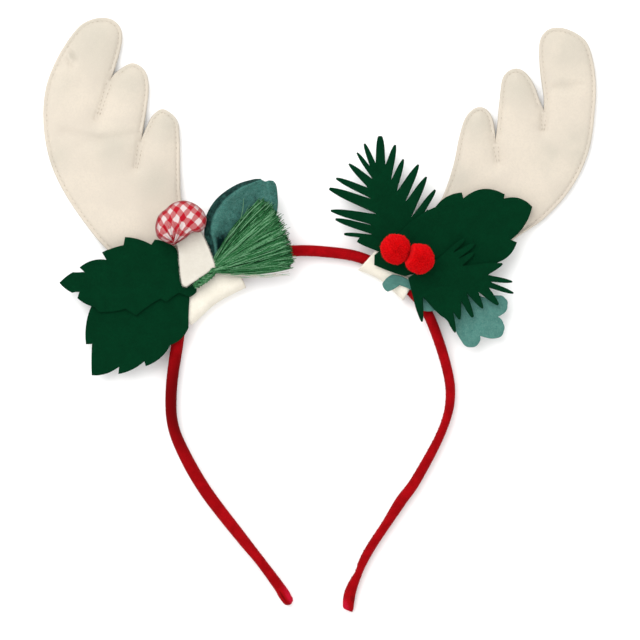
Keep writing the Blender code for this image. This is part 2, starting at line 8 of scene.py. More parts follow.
import bmesh
import bpy
import numpy as np
from mathutils.geometry import delaunay_2d_cdt
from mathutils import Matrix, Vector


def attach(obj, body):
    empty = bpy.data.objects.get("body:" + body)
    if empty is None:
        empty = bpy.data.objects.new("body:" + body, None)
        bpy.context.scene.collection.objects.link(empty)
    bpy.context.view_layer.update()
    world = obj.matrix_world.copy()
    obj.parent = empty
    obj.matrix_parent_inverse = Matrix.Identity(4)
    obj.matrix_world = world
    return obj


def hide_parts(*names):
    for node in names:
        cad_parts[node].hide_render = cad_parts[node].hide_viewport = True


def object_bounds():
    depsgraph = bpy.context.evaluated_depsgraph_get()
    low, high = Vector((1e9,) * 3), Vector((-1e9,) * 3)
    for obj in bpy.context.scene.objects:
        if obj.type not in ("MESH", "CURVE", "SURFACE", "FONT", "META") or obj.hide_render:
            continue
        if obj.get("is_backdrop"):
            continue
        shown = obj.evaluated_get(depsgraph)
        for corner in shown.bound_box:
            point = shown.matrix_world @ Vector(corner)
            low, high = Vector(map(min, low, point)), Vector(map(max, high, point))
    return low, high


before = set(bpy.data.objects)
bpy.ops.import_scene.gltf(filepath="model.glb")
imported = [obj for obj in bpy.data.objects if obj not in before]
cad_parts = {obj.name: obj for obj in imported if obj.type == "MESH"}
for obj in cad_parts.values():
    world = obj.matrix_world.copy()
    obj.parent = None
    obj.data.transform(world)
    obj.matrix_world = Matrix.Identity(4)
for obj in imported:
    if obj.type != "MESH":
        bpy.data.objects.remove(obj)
cad_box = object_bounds()

# Camera: straight above the headband, with the antlers towards the top of the picture. The picture
# is 275.2 mm wide at the height of the felt.
MM = 0.001
PICTURE_WIDTH = 275.2
PICTURE_MIDDLE = (0.43, -2.37)
FELT_HEIGHT = 8.0
CAMERA_HEIGHT = 2500.0

lens = bpy.data.cameras.new("camera")
lens.sensor_width = 36.0
lens.lens = lens.sensor_width * (CAMERA_HEIGHT - FELT_HEIGHT) / PICTURE_WIDTH
camera = bpy.data.objects.new("camera", lens)
camera.location = (PICTURE_MIDDLE[0] * MM, PICTURE_MIDDLE[1] * MM, CAMERA_HEIGHT * MM)
bpy.context.scene.collection.objects.link(camera)
bpy.context.scene.camera = camera
bpy.context.scene.view_settings.view_transform = "Standard"

# Light and floor: a large soft lamp up and to the left, pale light from all round, and a plain pale
# floor.
KEY_PLACE = np.array((-0.55, 0.75, 1.5))
KEY_SIZE = 1.3
KEY_WATTS = 21.0
ROUND_LIGHT = 1.2
LIT = 1.58  # how bright a white surface looks under these lights
FLOOR_HALF = 3.0
FLOOR_COLOUR = (0.93, 0.93, 0.925, 1.0)


def dyed(red, green, blue):
    """The linear colour of a dye that looks like this on a screen, 0 to 255, under the lights here."""
    screen = np.array((red, green, blue)) / 255.0
    linear = np.where(screen <= 0.04045, screen / 12.92, ((screen + 0.055) / 1.055) ** 2.4)
    return (*(linear / LIT).tolist(), 1.0)


def node(tree, kind, inputs=None, **settings):
    """A node with its settings; each input is a value, or a socket that it is linked from."""
    made = tree.nodes.new(kind)
    for key, value in settings.items():
        setattr(made, key, value)
    for key, value in (inputs or {}).items():
        if isinstance(value, bpy.types.NodeSocket):
            tree.links.new(value, made.inputs[key])
        else:
            made.inputs[key].default_value = value
    return made


def finish_of(name, roughness, sheen=0.0, sheen_roughness=0.5, sheen_tint=(1.0, 1.0, 1.0, 1.0)):
    """A material and its tree, with the values that are the same all over."""
    material = bpy.data.materials.new(name)
    material.use_nodes = True
    shader = material.node_tree.nodes["Principled BSDF"]
    for key, value in (("Roughness", roughness), ("Specular IOR Level", 0.04), ("Sheen Weight", sheen),
                       ("Sheen Roughness", sheen_roughness), ("Sheen Tint", sheen_tint)):
        shader.inputs[key].default_value = value
    return material, material.node_tree


def paint(tree, colour, relief=None, depth=0.1, strength=0.6):
    """Links a colour, and a relief of the given depth in millimetres, to the tree's shader."""
    shader = tree.nodes["Principled BSDF"]
    if isinstance(colour, bpy.types.NodeSocket):
        tree.links.new(colour, shader.inputs["Base Color"])
    else:
        shader.inputs["Base Color"].default_value = colour
    if relief is not None:
        bump = node(tree, "ShaderNodeBump", {"Height": relief, "Distance": depth * MM, "Strength": strength})
        tree.links.new(bump.outputs["Normal"], shader.inputs["Normal"])


def make_object(name, points, blocks, material, sharp=None, tone=None):
    """An object from points in millimetres and blocks of faces, smooth but for edges sharper than sharp.
    Tone is a number for each point that the material reads."""
    mesh = bpy.data.meshes.new(name)
    faces = [face for block in blocks for face in np.asarray(block).tolist()]
    mesh.from_pydata((np.asarray(points, float).reshape(-1, 3) * MM).tolist(), [], faces)
    work = bmesh.new()
    work.from_mesh(mesh)
    bmesh.ops.recalc_face_normals(work, faces=work.faces)
    work.to_mesh(mesh)
    work.free()
    if tone is not None:
        values = np.asarray(tone, float).ravel()
        mesh.attributes.new("tone", "FLOAT", "POINT").data.foreach_set("value", values)
    mesh.shade_smooth()
    if sharp is not None:
        mesh.set_sharp_from_angle(angle=math.radians(sharp))
    mesh.materials.append(material)
    made = bpy.data.objects.new(name, mesh)
    bpy.context.scene.collection.objects.link(made)
    return made


key = bpy.data.lights.new("key_light", "AREA")
key.size = KEY_SIZE
key.energy = KEY_WATTS
key_light = bpy.data.objects.new("key_light", key)
key_light.location = KEY_PLACE
key_light.rotation_euler = (*np.arctan2((-KEY_PLACE[1], KEY_PLACE[0]), KEY_PLACE[2]), 0.0)
bpy.context.scene.collection.objects.link(key_light)

world = bpy.data.worlds.new("round_light")
world.use_nodes = True
sky = world.node_tree.nodes["Background"].inputs
sky["Color"].default_value = (1.0, 1.0, 1.0, 1.0)
sky["Strength"].default_value = ROUND_LIGHT
bpy.context.scene.world = world

floor_finish, tree = finish_of("pale_floor", 0.9)
paint(tree, FLOOR_COLOUR)
half = FLOOR_HALF / MM
corners = [(-half, -half, 0), (half, -half, 0), (half, half, 0), (-half, half, 0)]
floor = make_object("floor", corners, [[(0, 1, 2, 3)]], floor_finish)
floor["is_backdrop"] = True


# Headband: a springy strip, padded, covered in red velvet ribbon and bent to an arch. The ribbon's edges meet
# in a sewn seam along the inner side. It is folded over at the legs' ends; here the ends are rounded, the
# right one cut on the slant, and the folds are painted shade.
BAND_DEPTH = 6.5
BAND_LIFT = 1.5
LEG_END_Y = -125.0
LEG_ROUND = 1.8  # how far the left leg's end is rounded
CUT_ROUND = 0.9  # the same for the right leg's end, which is cut on the slant
CUT_SLANT = 0.65
SEAM_DIP = 0.16  # how deep the seam lies and how far the cloth swells beside it, of half the width
SEAM_SWELL = 0.03
BAND_SIDES = 44
BAND_STEP = 0.9
SEAM_STITCH = 3.2  # from one stitch of the seam to the next

# The band's centre line from the left leg's end over the top to the right leg's end.
BAND_ROWS = (
    # x, y, width seen from the front
    (-12.3, -124.9, 4.2), (-15.0, -120.6, 5.0), (-17.6, -116.6, 4.5), (-25.4, -106.2, 4.2),
    (-33.1, -96.5, 4.9), (-47.8, -77.5, 5.4), (-58.2, -59.8, 5.2), (-63.1, -46.5, 4.9), (-63.5, -31.0, 4.9),
    (-61.2, -14.0, 5.2), (-58.8, -2.0, 4.7), (-53.4, 8.2, 4.7), (-44.5, 17.2, 4.7), (-32.0, 23.7, 4.7),
    (-10.0, 27.4, 4.8), (10.0, 26.2, 4.8), (21.2, 23.2, 4.7), (30.5, 18.0, 4.6), (38.5, 11.2, 4.5),
    (47.1, -0.2, 4.5), (54.1, -19.6, 4.3), (56.6, -35.0, 4.1), (53.2, -49.6, 3.8), (42.2, -70.7, 4.4),
    (35.1, -80.6, 4.8), (28.9, -90.4, 4.0), (22.3, -100.4, 4.0), (18.9, -106.6, 3.8), (17.1, -111.2, 3.2),
    (14.4, -117.0, 4.4), (13.0, -121.8, 5.0), (12.5, -127.4, 4.6),
)


def mixed(tree, amount, first, second, blend="MIX"):
    """The colour that goes from first to second with amount."""
    return node(tree, "ShaderNodeMix", {0: amount, 6: first, 7: second}, data_type="RGBA",
                blend_type=blend).outputs[2]


def sum_of(tree, operation, first, second, third=0.0):
    """One Math node's value."""
    return node(tree, "ShaderNodeMath", {0: first, 1: second, 2: third}, operation=operation).outputs[0]


def scaled(tree, value, by, more=0.0):
    """A value times another, and more added to it."""
    return sum_of(tree, "MULTIPLY_ADD", value, by, more)


def graded(tree, value, low, high, new_low=0.0, new_high=1.0):
    """A value carried smoothly from one range to another."""
    return node(tree, "ShaderNodeMapRange",
                {"Value": value, "From Min": low, "From Max": high, "To Min": new_low, "To Max": new_high},
                interpolation_type="SMOOTHSTEP").outputs[0]


def noise_of(tree, scale, detail, roughness=0.5, distortion=0.0, place=None):
    """A noise over Object coordinates, or over another place."""
    place = place or node(tree, "ShaderNodeTexCoord").outputs["Object"]
    return node(tree, "ShaderNodeTexNoise", {"Vector": place, "Scale": scale, "Detail": detail,
                                             "Roughness": roughness, "Distortion": distortion}).outputs["Fac"]


def tone_of(tree):
    """The number that the piece has at each of its points."""
    return node(tree, "ShaderNodeAttribute", attribute_name="tone").outputs["Fac"]


def smoothstep(value):
    """Nought below 0, one above 1, and 3t2 - 2t3 between."""
    value = np.clip(value, 0, 1)
    return value * value * (3 - 2 * value)


def bell(value, middle, width):
    """One at the middle, falling off to both sides as e to the power of minus the square of widths away."""
    return np.exp(-(((value - middle) / width) ** 2))


def rounding(distance, reach):
    """Nought at an edge and one past its reach, on a quarter of a circle between."""
    return np.sqrt(1 - (1 - np.clip(distance / reach, 0, 1)) ** 2)


def unit(way):
    """The directions with their length made one."""
    return way / np.linalg.norm(way, axis=-1)[..., None]


def left_of(way):
    """The flat directions turned a quarter turn to the left."""
    return np.stack((-way[..., 1], way[..., 0]), axis=-1)


def shares(counts):
    """For each gap split in so many steps, its number at each step, and the share of it that lies behind."""
    index = np.repeat(np.arange(len(counts)), counts)
    return index, np.concatenate([np.arange(count) / count for count in counts])


def finer(rows, counts):
    """The rows with more of them between each two, counts in all for each gap, on a Catmull-Rom curve:
    between b and c, with a before and d after, it is half of
    2b + (c - a)t + (2a - 5b + 4c - d)t2 + (3b - a - 3c + d)t3."""
    rows = np.asarray(rows, float)
    ends = np.concatenate((2 * rows[:1] - rows[1:2], rows, 2 * rows[-1:] - rows[-2:-1]))
    index, t = shares(np.broadcast_to(counts, len(rows) - 1))
    t = t.reshape(-1, *[1] * (rows.ndim - 1))
    a, b, c, d = (ends[index + k] for k in range(4))
    curve = 0.5 * (2 * b + (c - a) * t + (2 * a - 5 * b + 4 * c - d) * t**2 + (3 * b - a - 3 * c + d) * t**3)
    return np.concatenate((curve, rows[-1:]))


def smooth_curve(rows, step):
    """Points about step apart on a smooth curve through the rows; every column is carried."""
    gaps = np.linalg.norm(np.diff(np.asarray(rows, float)[:, :2], axis=0), axis=1)
    return finer(rows, np.maximum(1, np.rint(gaps / step)).astype(int))


def grid_faces(rows, columns):
    """Quads over a grid of points whose last column meets the first."""
    row, column = np.meshgrid(np.arange(rows - 1), np.arange(columns), indexing="ij")
    after = (column + 1) % columns
    corners = (row * columns + column, row * columns + after, (row + 1) * columns + after,
               (row + 1) * columns + column)
    return np.stack(corners, axis=-1).reshape(-1, 4)


def closed_tube(rows, columns):
    """The faces of a grid of points that goes round, with one face over each of its two ends."""
    last = (rows - 1) * columns
    return [grid_faces(rows, columns), [range(columns)[::-1]], [range(last, last + columns)]]


def tubes(paths, radius, sides, upright=(0.0, 0.0, 1.0)):
    """Threads: paths[n, k] is point k of thread n, with its radius; a ring of points stands across the
    thread at each of them, and both ends are closed."""
    tangent = unit(np.gradient(paths, axis=1))
    side = unit(np.cross(np.broadcast_to(upright, tangent.shape), tangent))
    up = np.cross(tangent, side)
    angle = (np.arange(sides) * 2 * math.pi / sides)[:, None]
    ring = np.cos(angle) * side[:, :, None] + np.sin(angle) * up[:, :, None]
    points = paths[:, :, None] + ring * np.broadcast_to(radius, paths.shape[:2])[..., None, None]
    count, steps = paths.shape[:2]
    first = (np.arange(count) * steps * sides)[:, None]
    walls = (grid_faces(steps, sides)[None] + first[..., None]).reshape(-1, 4)
    last = first + (steps - 1) * sides + np.arange(sides)
    return points.reshape(-1, 3), [walls, first + np.arange(sides)[::-1], last]


def stitches(places, headings, length, radius):
    """Short stitches centred on places, their radius one for all or one each: each lies along its heading,
    arched in the middle, and dips into the felt at its ends."""
    t = np.linspace(-1, 1, 5)
    along = np.column_stack((np.cos(headings), np.sin(headings), np.zeros(len(headings))))
    paths = places[:, None] + along[:, None] * t[:, None] * length / 2
    paths[..., 2] -= radius * (2.2 * t**4 - 0.4)
    return tubes(paths, radius * np.sqrt(1 - (0.9 * t) ** 2), 5)


def dressed(name, points, blocks, material, slot, stands_for=None, fill=None, **looks):
    """A piece of the headband, in place of the solid that it stands for; its fill is not used."""
    piece = make_object(name, points, blocks, material, **looks)
    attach(piece, "root")
    if stands_for:
        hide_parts(stands_for)
    return piece


band_line = smooth_curve(BAND_ROWS, BAND_STEP)
band_heading = unit(np.gradient(band_line[:, :2], axis=0))
band_side = left_of(band_heading)
band_steps = np.linalg.norm(np.diff(band_line[:, :2], axis=0), axis=1)
band_travel = np.concatenate(([0.0], np.cumsum(band_steps)))
band_lift = BAND_LIFT * smoothstep(1 - band_line[:, 1] / LEG_END_Y)

angle = np.arange(BAND_SIDES) * 2 * math.pi / BAND_SIDES
across = np.sign(np.cos(angle)) * np.abs(np.cos(angle)) ** 0.85
depth = np.sign(np.sin(angle)) * np.abs(np.sin(angle)) ** 0.85
from_start, to_end = band_travel[:, None], band_travel[-1] - band_travel[:, None]
leg_ends = rounding(from_start + 0.06, LEG_ROUND) * (0.84 + 0.16 * rounding(to_end, CUT_ROUND))
swell = 1 + 0.018 * np.sin(from_start / 5.1 + 1.3 * angle) + 0.014 * np.sin(from_start / 8.7 - 2 * angle)
away = np.abs(angle - math.pi)  # from the middle of the inner side, where the ribbon's edges meet
swell = swell - SEAM_DIP * bell(away, 0, 0.10) + SEAM_SWELL * bell(away, 0.24, 0.12)
size = leg_ends * swell
flat = band_line[:, None, :2] + band_side[:, None] * (across * size * band_line[:, 2:] / 2)[..., None]
slanted = CUT_SLANT * across * np.clip(1 - to_end / 3, 0, 1)
flat = flat + band_heading[:, None] * slanted[..., None]
height = band_lift[:, None] + BAND_DEPTH / 2 + depth * size * BAND_DEPTH / 2
band_points = np.dstack((flat, height))
# Painted light and shade in place of the velvet pile's sheen: painted shade down the left leg, painted
# highlights at both ends with painted shade in a fold beside each, and a little painted light along one edge
# all the way
left_leg_painted_shade = -0.9 * bell(band_line[:, 1:2], -38, 26) * (band_line[:, :1] < 0)
left_end_painted_highlight = 1.1 * bell(from_start, 0, 9) * (0.45 - across)
left_fold_painted_shade = -1.1 * bell(from_start, 4.5, 4.5) * bell(across, 0.35, 0.22)
right_end_painted_highlight = bell(to_end, 0, 5) * (0.7 - 0.9 * across)
right_fold_painted_shade = -0.8 * bell(to_end, 5.2, 2.4) * smoothstep((across + 0.4) * 1.2)
band_painted_light_and_shade = 0.15 * across + left_leg_painted_shade + left_end_painted_highlight + left_fold_painted_shade + right_end_painted_highlight + right_fold_painted_shade
rows = len(band_line)

velvet, tree = finish_of("red_velvet", 0.8, sheen=0.12, sheen_roughness=0.3, sheen_tint=(1.0, 0.1, 0.15, 1.0))
brushed = noise_of(tree, 140.0, 3.0, roughness=0.55, distortion=0.8)
pile = noise_of(tree, 2600.0, 2.0)
# the painted light and shade: dark red below nought, pink above
lie = tone_of(tree)
red = mixed(tree, graded(tree, brushed, 0.36, 0.68), dyed(162, 2, 9), dyed(184, 6, 17))
red = mixed(tree, graded(tree, lie, -0.15, -1.0), red, dyed(112, 0, 3))
red = mixed(tree, graded(tree, lie, 0.15, 1.0), red, dyed(216, 24, 56))
red = mixed(tree, graded(tree, pile, 0.62, 0.36, 0.0, 0.4), red, dyed(120, 0, 5))
paint(tree, red, pile, depth=0.16, strength=0.7)

dressed("headband_velvet", band_points, closed_tube(rows, BAND_SIDES), velvet, "red_velvet", "headband",
        fill=0.95, sharp=55, tone=band_painted_light_and_shade)

seam_at = np.arange(3.0, band_travel[-1] - 2, SEAM_STITCH)
seam_rows = np.round(seam_at / band_travel[-1] * (rows - 1)).astype(int)
seam_places = band_points[seam_rows, BAND_SIDES // 2]
seam_places[:, :2] -= band_side[seam_rows] * 0.1
heading = band_heading[seam_rows]
thread_finish, tree = finish_of("dark_red_thread", 0.7, sheen=0.2)
paint(tree, dyed(112, 4, 12))
sewing = stitches(seam_places, np.arctan2(heading[:, 1], heading[:, 0]) + 0.35, 1.7, 0.2)
dressed("headband_seam_stitches", *sewing, thread_finish, "red_velvet")


# Antlers: each is two layers of cream felt, sewn together a little inside the cut edge and stuffed. The
# sewing also runs down between the tines, a row on each side of a slit, and dimples the felt.
ANTLER_PAD = 6.2
FELT_LAYER = 1.2
SEWN_IN = 1.4  # from the cut edge to the stitches
SLIT_SEWN = 1.0  # from a slit to the stitches
SEWN_DIP = 0.22
SLIT_DIP = 0.45
PUCKER = 0.04
STUFFED_AT = 9.0
STITCH_PITCH = 2.3
FINE_RINGS = (0.2, 0.5, 0.9, 1.3, 1.7, 2.1, 2.6, 3.3, 4.2, 5.4)  # rows of points inside the cut edge
BESIDE_SLIT = np.array((0.15, 0.4, 0.75, 1.15, 1.6, 2.2, 3.0))  # and on each side of a slit
# The cut edge, as share of the way down and how far out: each layer bulges, with a groove between them
TWO_LAYERS = ((0.12, 0.12), (0.3, 0.17), (0.5, -0.35), (0.7, 0.17), (0.88, 0.12))

LEFT_ANTLER = {
    "runs": (
        ((-59.3, 3.6), (-68, 12), (-78, 18.5), (-91, 28), (-100, 38.5), (-109.5, 52.5), (-115.8, 66.5),
         (-118.5, 82), (-117.6, 97), (-112.5, 110.5), (-104.5, 122.6), (-98, 126.9), (-91, 127.5),
         (-86.2, 124.3), (-85, 118), (-87.6, 107.5), (-90, 101)),
        ((-90, 101), (-87, 104.5), (-80.5, 108.1), (-75.2, 105), (-73.5, 98), (-74.5, 88), (-76.8, 74.5)),
        ((-76.8, 74.5), (-74.5, 80), (-71.6, 85.6), (-67, 88.3), (-61.4, 83.8), (-60.2, 76), (-60, 60),
         (-59.2, 48.5), (-54.5, 36), (-48.5, 27), (-45.6, 20.7)),
        ((-45.6, 20.7), (-50.6, 16.4), (-55.2, 11.2), (-59.3, 3.6)),
    ),
    "slits": (((-90, 101), (-95.5, 84.5)), ((-76.8, 74.5), (-78.5, 64))),
    "root": (-52.6, 13.6),
    # creases and hollows in the stuffing: from x, y to x, y, half width, depth
    "creases": ((-110, 78.3, -94, 75.6, 1.8, 0.9), (-102, 73.4, -80, 77.2, 2.0, 0.8),
                (-107.5, 114, -105, 109.5, 0.9, 1.6), (-109, 110, -106.5, 106.5, 0.7, 1.1),
                (-72, 46, -64, 58, 7.0, 0.5), (-99, 60, -84, 48, 6.0, 0.35), (-97, 92, -104, 98, 5.0, 0.3)),
    # greyer, cooler patches, partly the felt's uneven colour and partly painted shade at tine ends, edges and
    # creases: x, y, how far
    "cool_and_shade": ((-97, 120, 15), (-112, 100, 8), (-81, 100, 9), (-66, 82, 9), (-88, 73, 9), (-115, 68, 7),
             (-70, 57, 8), (-106, 111.5, 3)),
}
RIGHT_ANTLER = {
    "runs": (
        ((27.4, 24.6), (38, 34), (46, 42), (53, 50), (58, 64), (60.5, 76), (63.2, 84.6), (67.4, 88.8),
         (71.4, 88.7), (74.4, 85), (75.6, 79), (76, 74)),
        ((76, 74), (76.8, 80), (77.9, 92), (79.4, 102), (83.5, 105.6), (88, 104.8), (92.2, 99.5),
         (95.2, 91.5), (97, 87.5)),
        ((97, 87.5), (96.9, 94), (95.3, 106), (95.2, 117), (98.2, 122.2), (104, 123.4), (111, 120.8),
         (116, 115.6), (118.9, 103), (118.7, 88), (115.9, 70), (108.5, 54.5), (97.5, 42), (86, 34),
         (76, 26.5), (62, 19), (50, 16.2), (40.4, 14.9)),
        ((40.4, 14.9), (33.4, 20.8), (27.4, 24.6)),
    ),
    "slits": (((76, 74), (77, 66)), ((97, 87.5), (96.5, 80))),
    "root": (34.0, 19.8),
    "creases": ((101, 97.4, 112, 98.2, 1.8, 1.1), (84, 60, 100, 66, 7.0, 0.4), (66, 58, 73, 64, 5.0, 0.3),
                (104, 79, 111, 74, 3.5, 0.3)),
    "cool_and_shade": ((108, 116, 12), (86, 99, 9), (68, 82, 8), (113, 72, 9), (99, 68, 7), (60, 60, 6),
             (106, 98.5, 4)),
}


def edge_place(points, outline, closed=True):
    """For each point, the distance to the nearest stretch of the outline, and how far along it that is."""
    start = outline if closed else outline[:-1]
    along = (np.roll(outline, -1, axis=0) if closed else outline[1:]) - start
    length = np.linalg.norm(along, axis=1)
    travelled = np.concatenate(([0.0], np.cumsum(length)[:-1]))
    found = []
    for block in np.array_split(points, max(1, len(points) // 1000)):
        offset = block[:, None] - start
        t = np.clip((offset * along).sum(axis=2) / length**2, 0, 1)
        apart = np.linalg.norm(offset - t[..., None] * along, axis=2)
        nearest = apart.argmin(axis=1)[:, None]
        found.append(np.hstack([np.take_along_axis(value, nearest, axis=1)
                                for value in (apart, travelled + t * length)]))
    return np.vstack(found).T


def inward(outline):
    """At each point of a closed anticlockwise outline, the direction into it."""
    return left_of(unit(np.roll(outline, -1, axis=0) - np.roll(outline, 1, axis=0)))


def cut_out(outline, set_in, cell, slits=(), beside=()):
    """Triangles over a sheet cut to a closed anticlockwise outline. Its points are the outline's, which
    come first, then the outline set in by each distance, rows beside each slit, and a staggered grid."""
    rings = [outline]
    for deep in set_in:
        ring = outline + inward(outline) * deep
        rings.append(ring[edge_place(ring, outline)[0] > 0.94 * deep])
    low, high = outline.min(axis=0), outline.max(axis=0)
    y, x = np.arange(low[1], high[1], cell * 0.87), np.arange(low[0], high[0], cell)
    y, x = np.meshgrid(y, x, indexing="ij")
    x = x + cell / 2 * (np.arange(len(x)) % 2)[:, None]
    grid = np.column_stack((x.ravel(), y.ravel()))
    grid = grid[edge_place(grid, outline)[0] > set_in[-1] + 0.6 * cell]
    for start, end in np.array(slits, float).reshape(-1, 2, 2):
        way = unit(end - start)
        steps = np.arange(0.5, np.linalg.norm(end - start) + 2.5, 0.6)[:, None]
        rows = np.vstack([start + way * steps + left_of(way) * aside for aside in beside])
        slit = np.array((start, end + way * 2))
        grid, *inner = (spread[edge_place(spread, slit, closed=False)[0] > max(beside) + 0.8]
                        for spread in (grid, *rings[1:]))
        rings = [outline, *inner, rows[edge_place(rows, outline)[0] > 0.3]]
    corners = [tuple(point) for point in np.vstack((*rings, grid)).tolist()]
    edges = [(k, (k + 1) % len(outline)) for k in range(len(outline))]
    points, _, faces, *_ = delaunay_2d_cdt(corners, edges, [], 1, 1e-6)
    used, faces = np.unique(np.array(faces), return_inverse=True)
    points, faces = np.array([tuple(point) for point in points])[used], faces.reshape(-1, 3)
    a, b, c = (points[faces[:, k]] for k in range(3))
    turned = np.cross(b - a, c - a) < 0
    faces[turned] = faces[turned, ::-1]
    return points, faces


def closed_sheet(flat, faces, count, top, bottom, wall=((0.5, 0.0),)):
    """Points and faces of a sheet between two heights. A wall joins them round the outline, the first
    count points; each row of it is the share of the way down and how far out it bulges."""
    size = len(flat)
    out = -inward(flat[:count])
    drop = (bottom - top)[:count]
    rows = [np.column_stack((flat[:count] + out * push, top[:count] + drop * share)) for share, push in wall]
    points = np.vstack((np.column_stack((flat, top)), np.column_stack((flat, bottom)), *rows))
    here = np.arange(count)
    after = np.roll(here, -1)
    levels = [0, *(2 * size + count * k for k in range(len(wall))), size]
    walls = [np.column_stack((a + here, b + here, b + after, a + after))
             for a, b in zip(levels, levels[1:])]
    return points, [faces, faces[:, ::-1] + size, *walls]


def antler_form(shape, outline, flat):
    """The middle height, half thickness and stuffing at points of an antler. The half thickness is one
    layer of felt, rounded at the cut edge, pulled in at the stitches and puckered along them, and past
    them it rises as a circle's arc does. The root rises to the wrap's middle."""
    distance, along = edge_place(flat, outline)
    seam = np.zeros(len(flat))
    for slit in shape["slits"]:
        apart, reach = edge_place(flat, np.array(slit, float), closed=False)
        seam = np.maximum(seam, bell(apart, 0, 0.3))
        apart = apart + SEWN_IN - SLIT_SEWN
        along = np.where(apart < distance, reach, along)
        distance = np.minimum(distance, apart)
    edge = 0.62 + 0.38 * rounding(distance, 0.5)
    inside = np.clip((distance - SEWN_IN) / (STUFFED_AT - SEWN_IN), 0, 1)
    stuffed = (1 - (1 - inside) ** 2) ** 0.8
    pucker = PUCKER * np.sin(2 * math.pi * along / STITCH_PITCH) * bell(distance, 2.4, 1.1)
    half = FELT_LAYER * edge - SEWN_DIP * bell(distance, SEWN_IN, 0.5) - SLIT_DIP * seam + pucker
    half = np.minimum(half + (ANTLER_PAD / 2 - FELT_LAYER) * stuffed, ANTLER_PAD / 2)
    near_root = smoothstep(1 - (np.linalg.norm(flat - shape["root"], axis=1) - 12) / 45)
    middle = ANTLER_PAD / 2 + (BAND_LIFT + (BAND_DEPTH - ANTLER_PAD) / 2) * near_root
    return middle, half, stuffed


def antler_top(shape, outline, flat):
    """The front's height: the form, less its creases, with slow lumps in the stuffing."""
    middle, half, stuffed = antler_form(shape, outline, flat)
    x, y = flat.T
    lumps = np.sin(x / 5.3 + y / 9.1) + np.sin(y / 6.7 - x / 11.3 + 1.7) + np.sin((x + y) / 3.9 + 0.6) * 0.5
    top = middle + half + 0.13 * lumps * stuffed
    for from_x, from_y, to_x, to_y, width, deep in shape["creases"]:
        line = np.array(((from_x, from_y), (to_x, to_y)), float)
        top = top - deep * stuffed * bell(edge_place(flat, line, closed=False)[0], 0, width)
    return top


def sewn_places(shape, outline):
    """Where the stitches lie and which way they run: inside the cut edge all round, and on each side of
    every slit, closing in towards the slit's end."""
    length = np.linalg.norm(np.roll(outline, -1, axis=0) - outline, axis=1)
    travelled = np.concatenate(([0.0], np.cumsum(length)))
    loop = outline + inward(outline) * SEWN_IN
    loop = np.vstack((loop, loop[:1]))
    at = np.arange(0, travelled[-1], STITCH_PITCH)
    places, ahead = (np.column_stack([np.interp(far, travelled, loop[:, k]) for k in (0, 1)])
                     for far in (at, at + 0.8))
    kept = edge_place(places, outline)[0] > 0.9 * SEWN_IN
    rows, headings = [places[kept]], [np.arctan2(*(ahead - places)[kept].T[::-1])]
    for start, end in np.array(shape["slits"], float):
        reach = np.linalg.norm(end - start)
        way = (end - start) / reach
        steps = np.arange(2.2, reach + 0.8, STITCH_PITCH * 0.8)[:, None]
        spread = SLIT_SEWN * np.sqrt(np.clip(1.12 - steps / (reach + 1), 0, 1))
        rows += [start + way * steps + turn * left_of(way) * spread for turn in (-1, 1)]
        headings += [np.full(len(steps), math.atan2(way[1], way[0]))] * 2
    places, headings = np.vstack(rows), np.concatenate(headings)
    clear = [edge_place(places, np.array(slit, float), closed=False)[0] >= 0.5 for slit in shape["slits"]]
    return places[np.all(clear, axis=0)], headings[np.all(clear, axis=0)]


def fibre_tangle():
    """Node group: the fine fibres of felt as thin ridges where two noises pass their middle value, a
    grain of short tufts, and soft blotches, over Object coordinates in millimetres."""
    tree = bpy.data.node_groups.new("fibre_tangle", "ShaderNodeTree")
    for name, size in (("Fibre size", 0.8), ("Blotch size", 8.0)):
        tree.interface.new_socket(name, in_out="INPUT", socket_type="NodeSocketFloat").default_value = size
    for name in ("Fibres", "Grain", "Blotches"):
        tree.interface.new_socket(name, in_out="OUTPUT", socket_type="NodeSocketFloat")
    given = node(tree, "NodeGroupInput").outputs
    place = node(tree, "ShaderNodeTexCoord").outputs["Object"]
    place = node(tree, "ShaderNodeVectorMath", {0: place, 1: (1 / MM,) * 3}, operation="MULTIPLY").outputs[0]
    fine = sum_of(tree, "DIVIDE", 1.0, given["Fibre size"])
    ridges = []
    for scale, bend in ((1.0, 1.6), (1.7, 2.4)):
        noise = noise_of(tree, scaled(tree, fine, scale), 1.5, distortion=bend, place=place)
        off = sum_of(tree, "ABSOLUTE", sum_of(tree, "SUBTRACT", noise, 0.5), 0.0)
        ridges.append(graded(tree, off, 0.045, 0.0))
    grain = noise_of(tree, scaled(tree, fine, 0.9), 4.0, roughness=0.65, place=place)
    coarse = sum_of(tree, "DIVIDE", 1.0, given["Blotch size"])
    blotches = noise_of(tree, coarse, 3.0, roughness=0.6, place=place)
    node(tree, "NodeGroupOutput", {0: sum_of(tree, "MAXIMUM", *ridges), 1: grain, 2: blotches})
    return tree


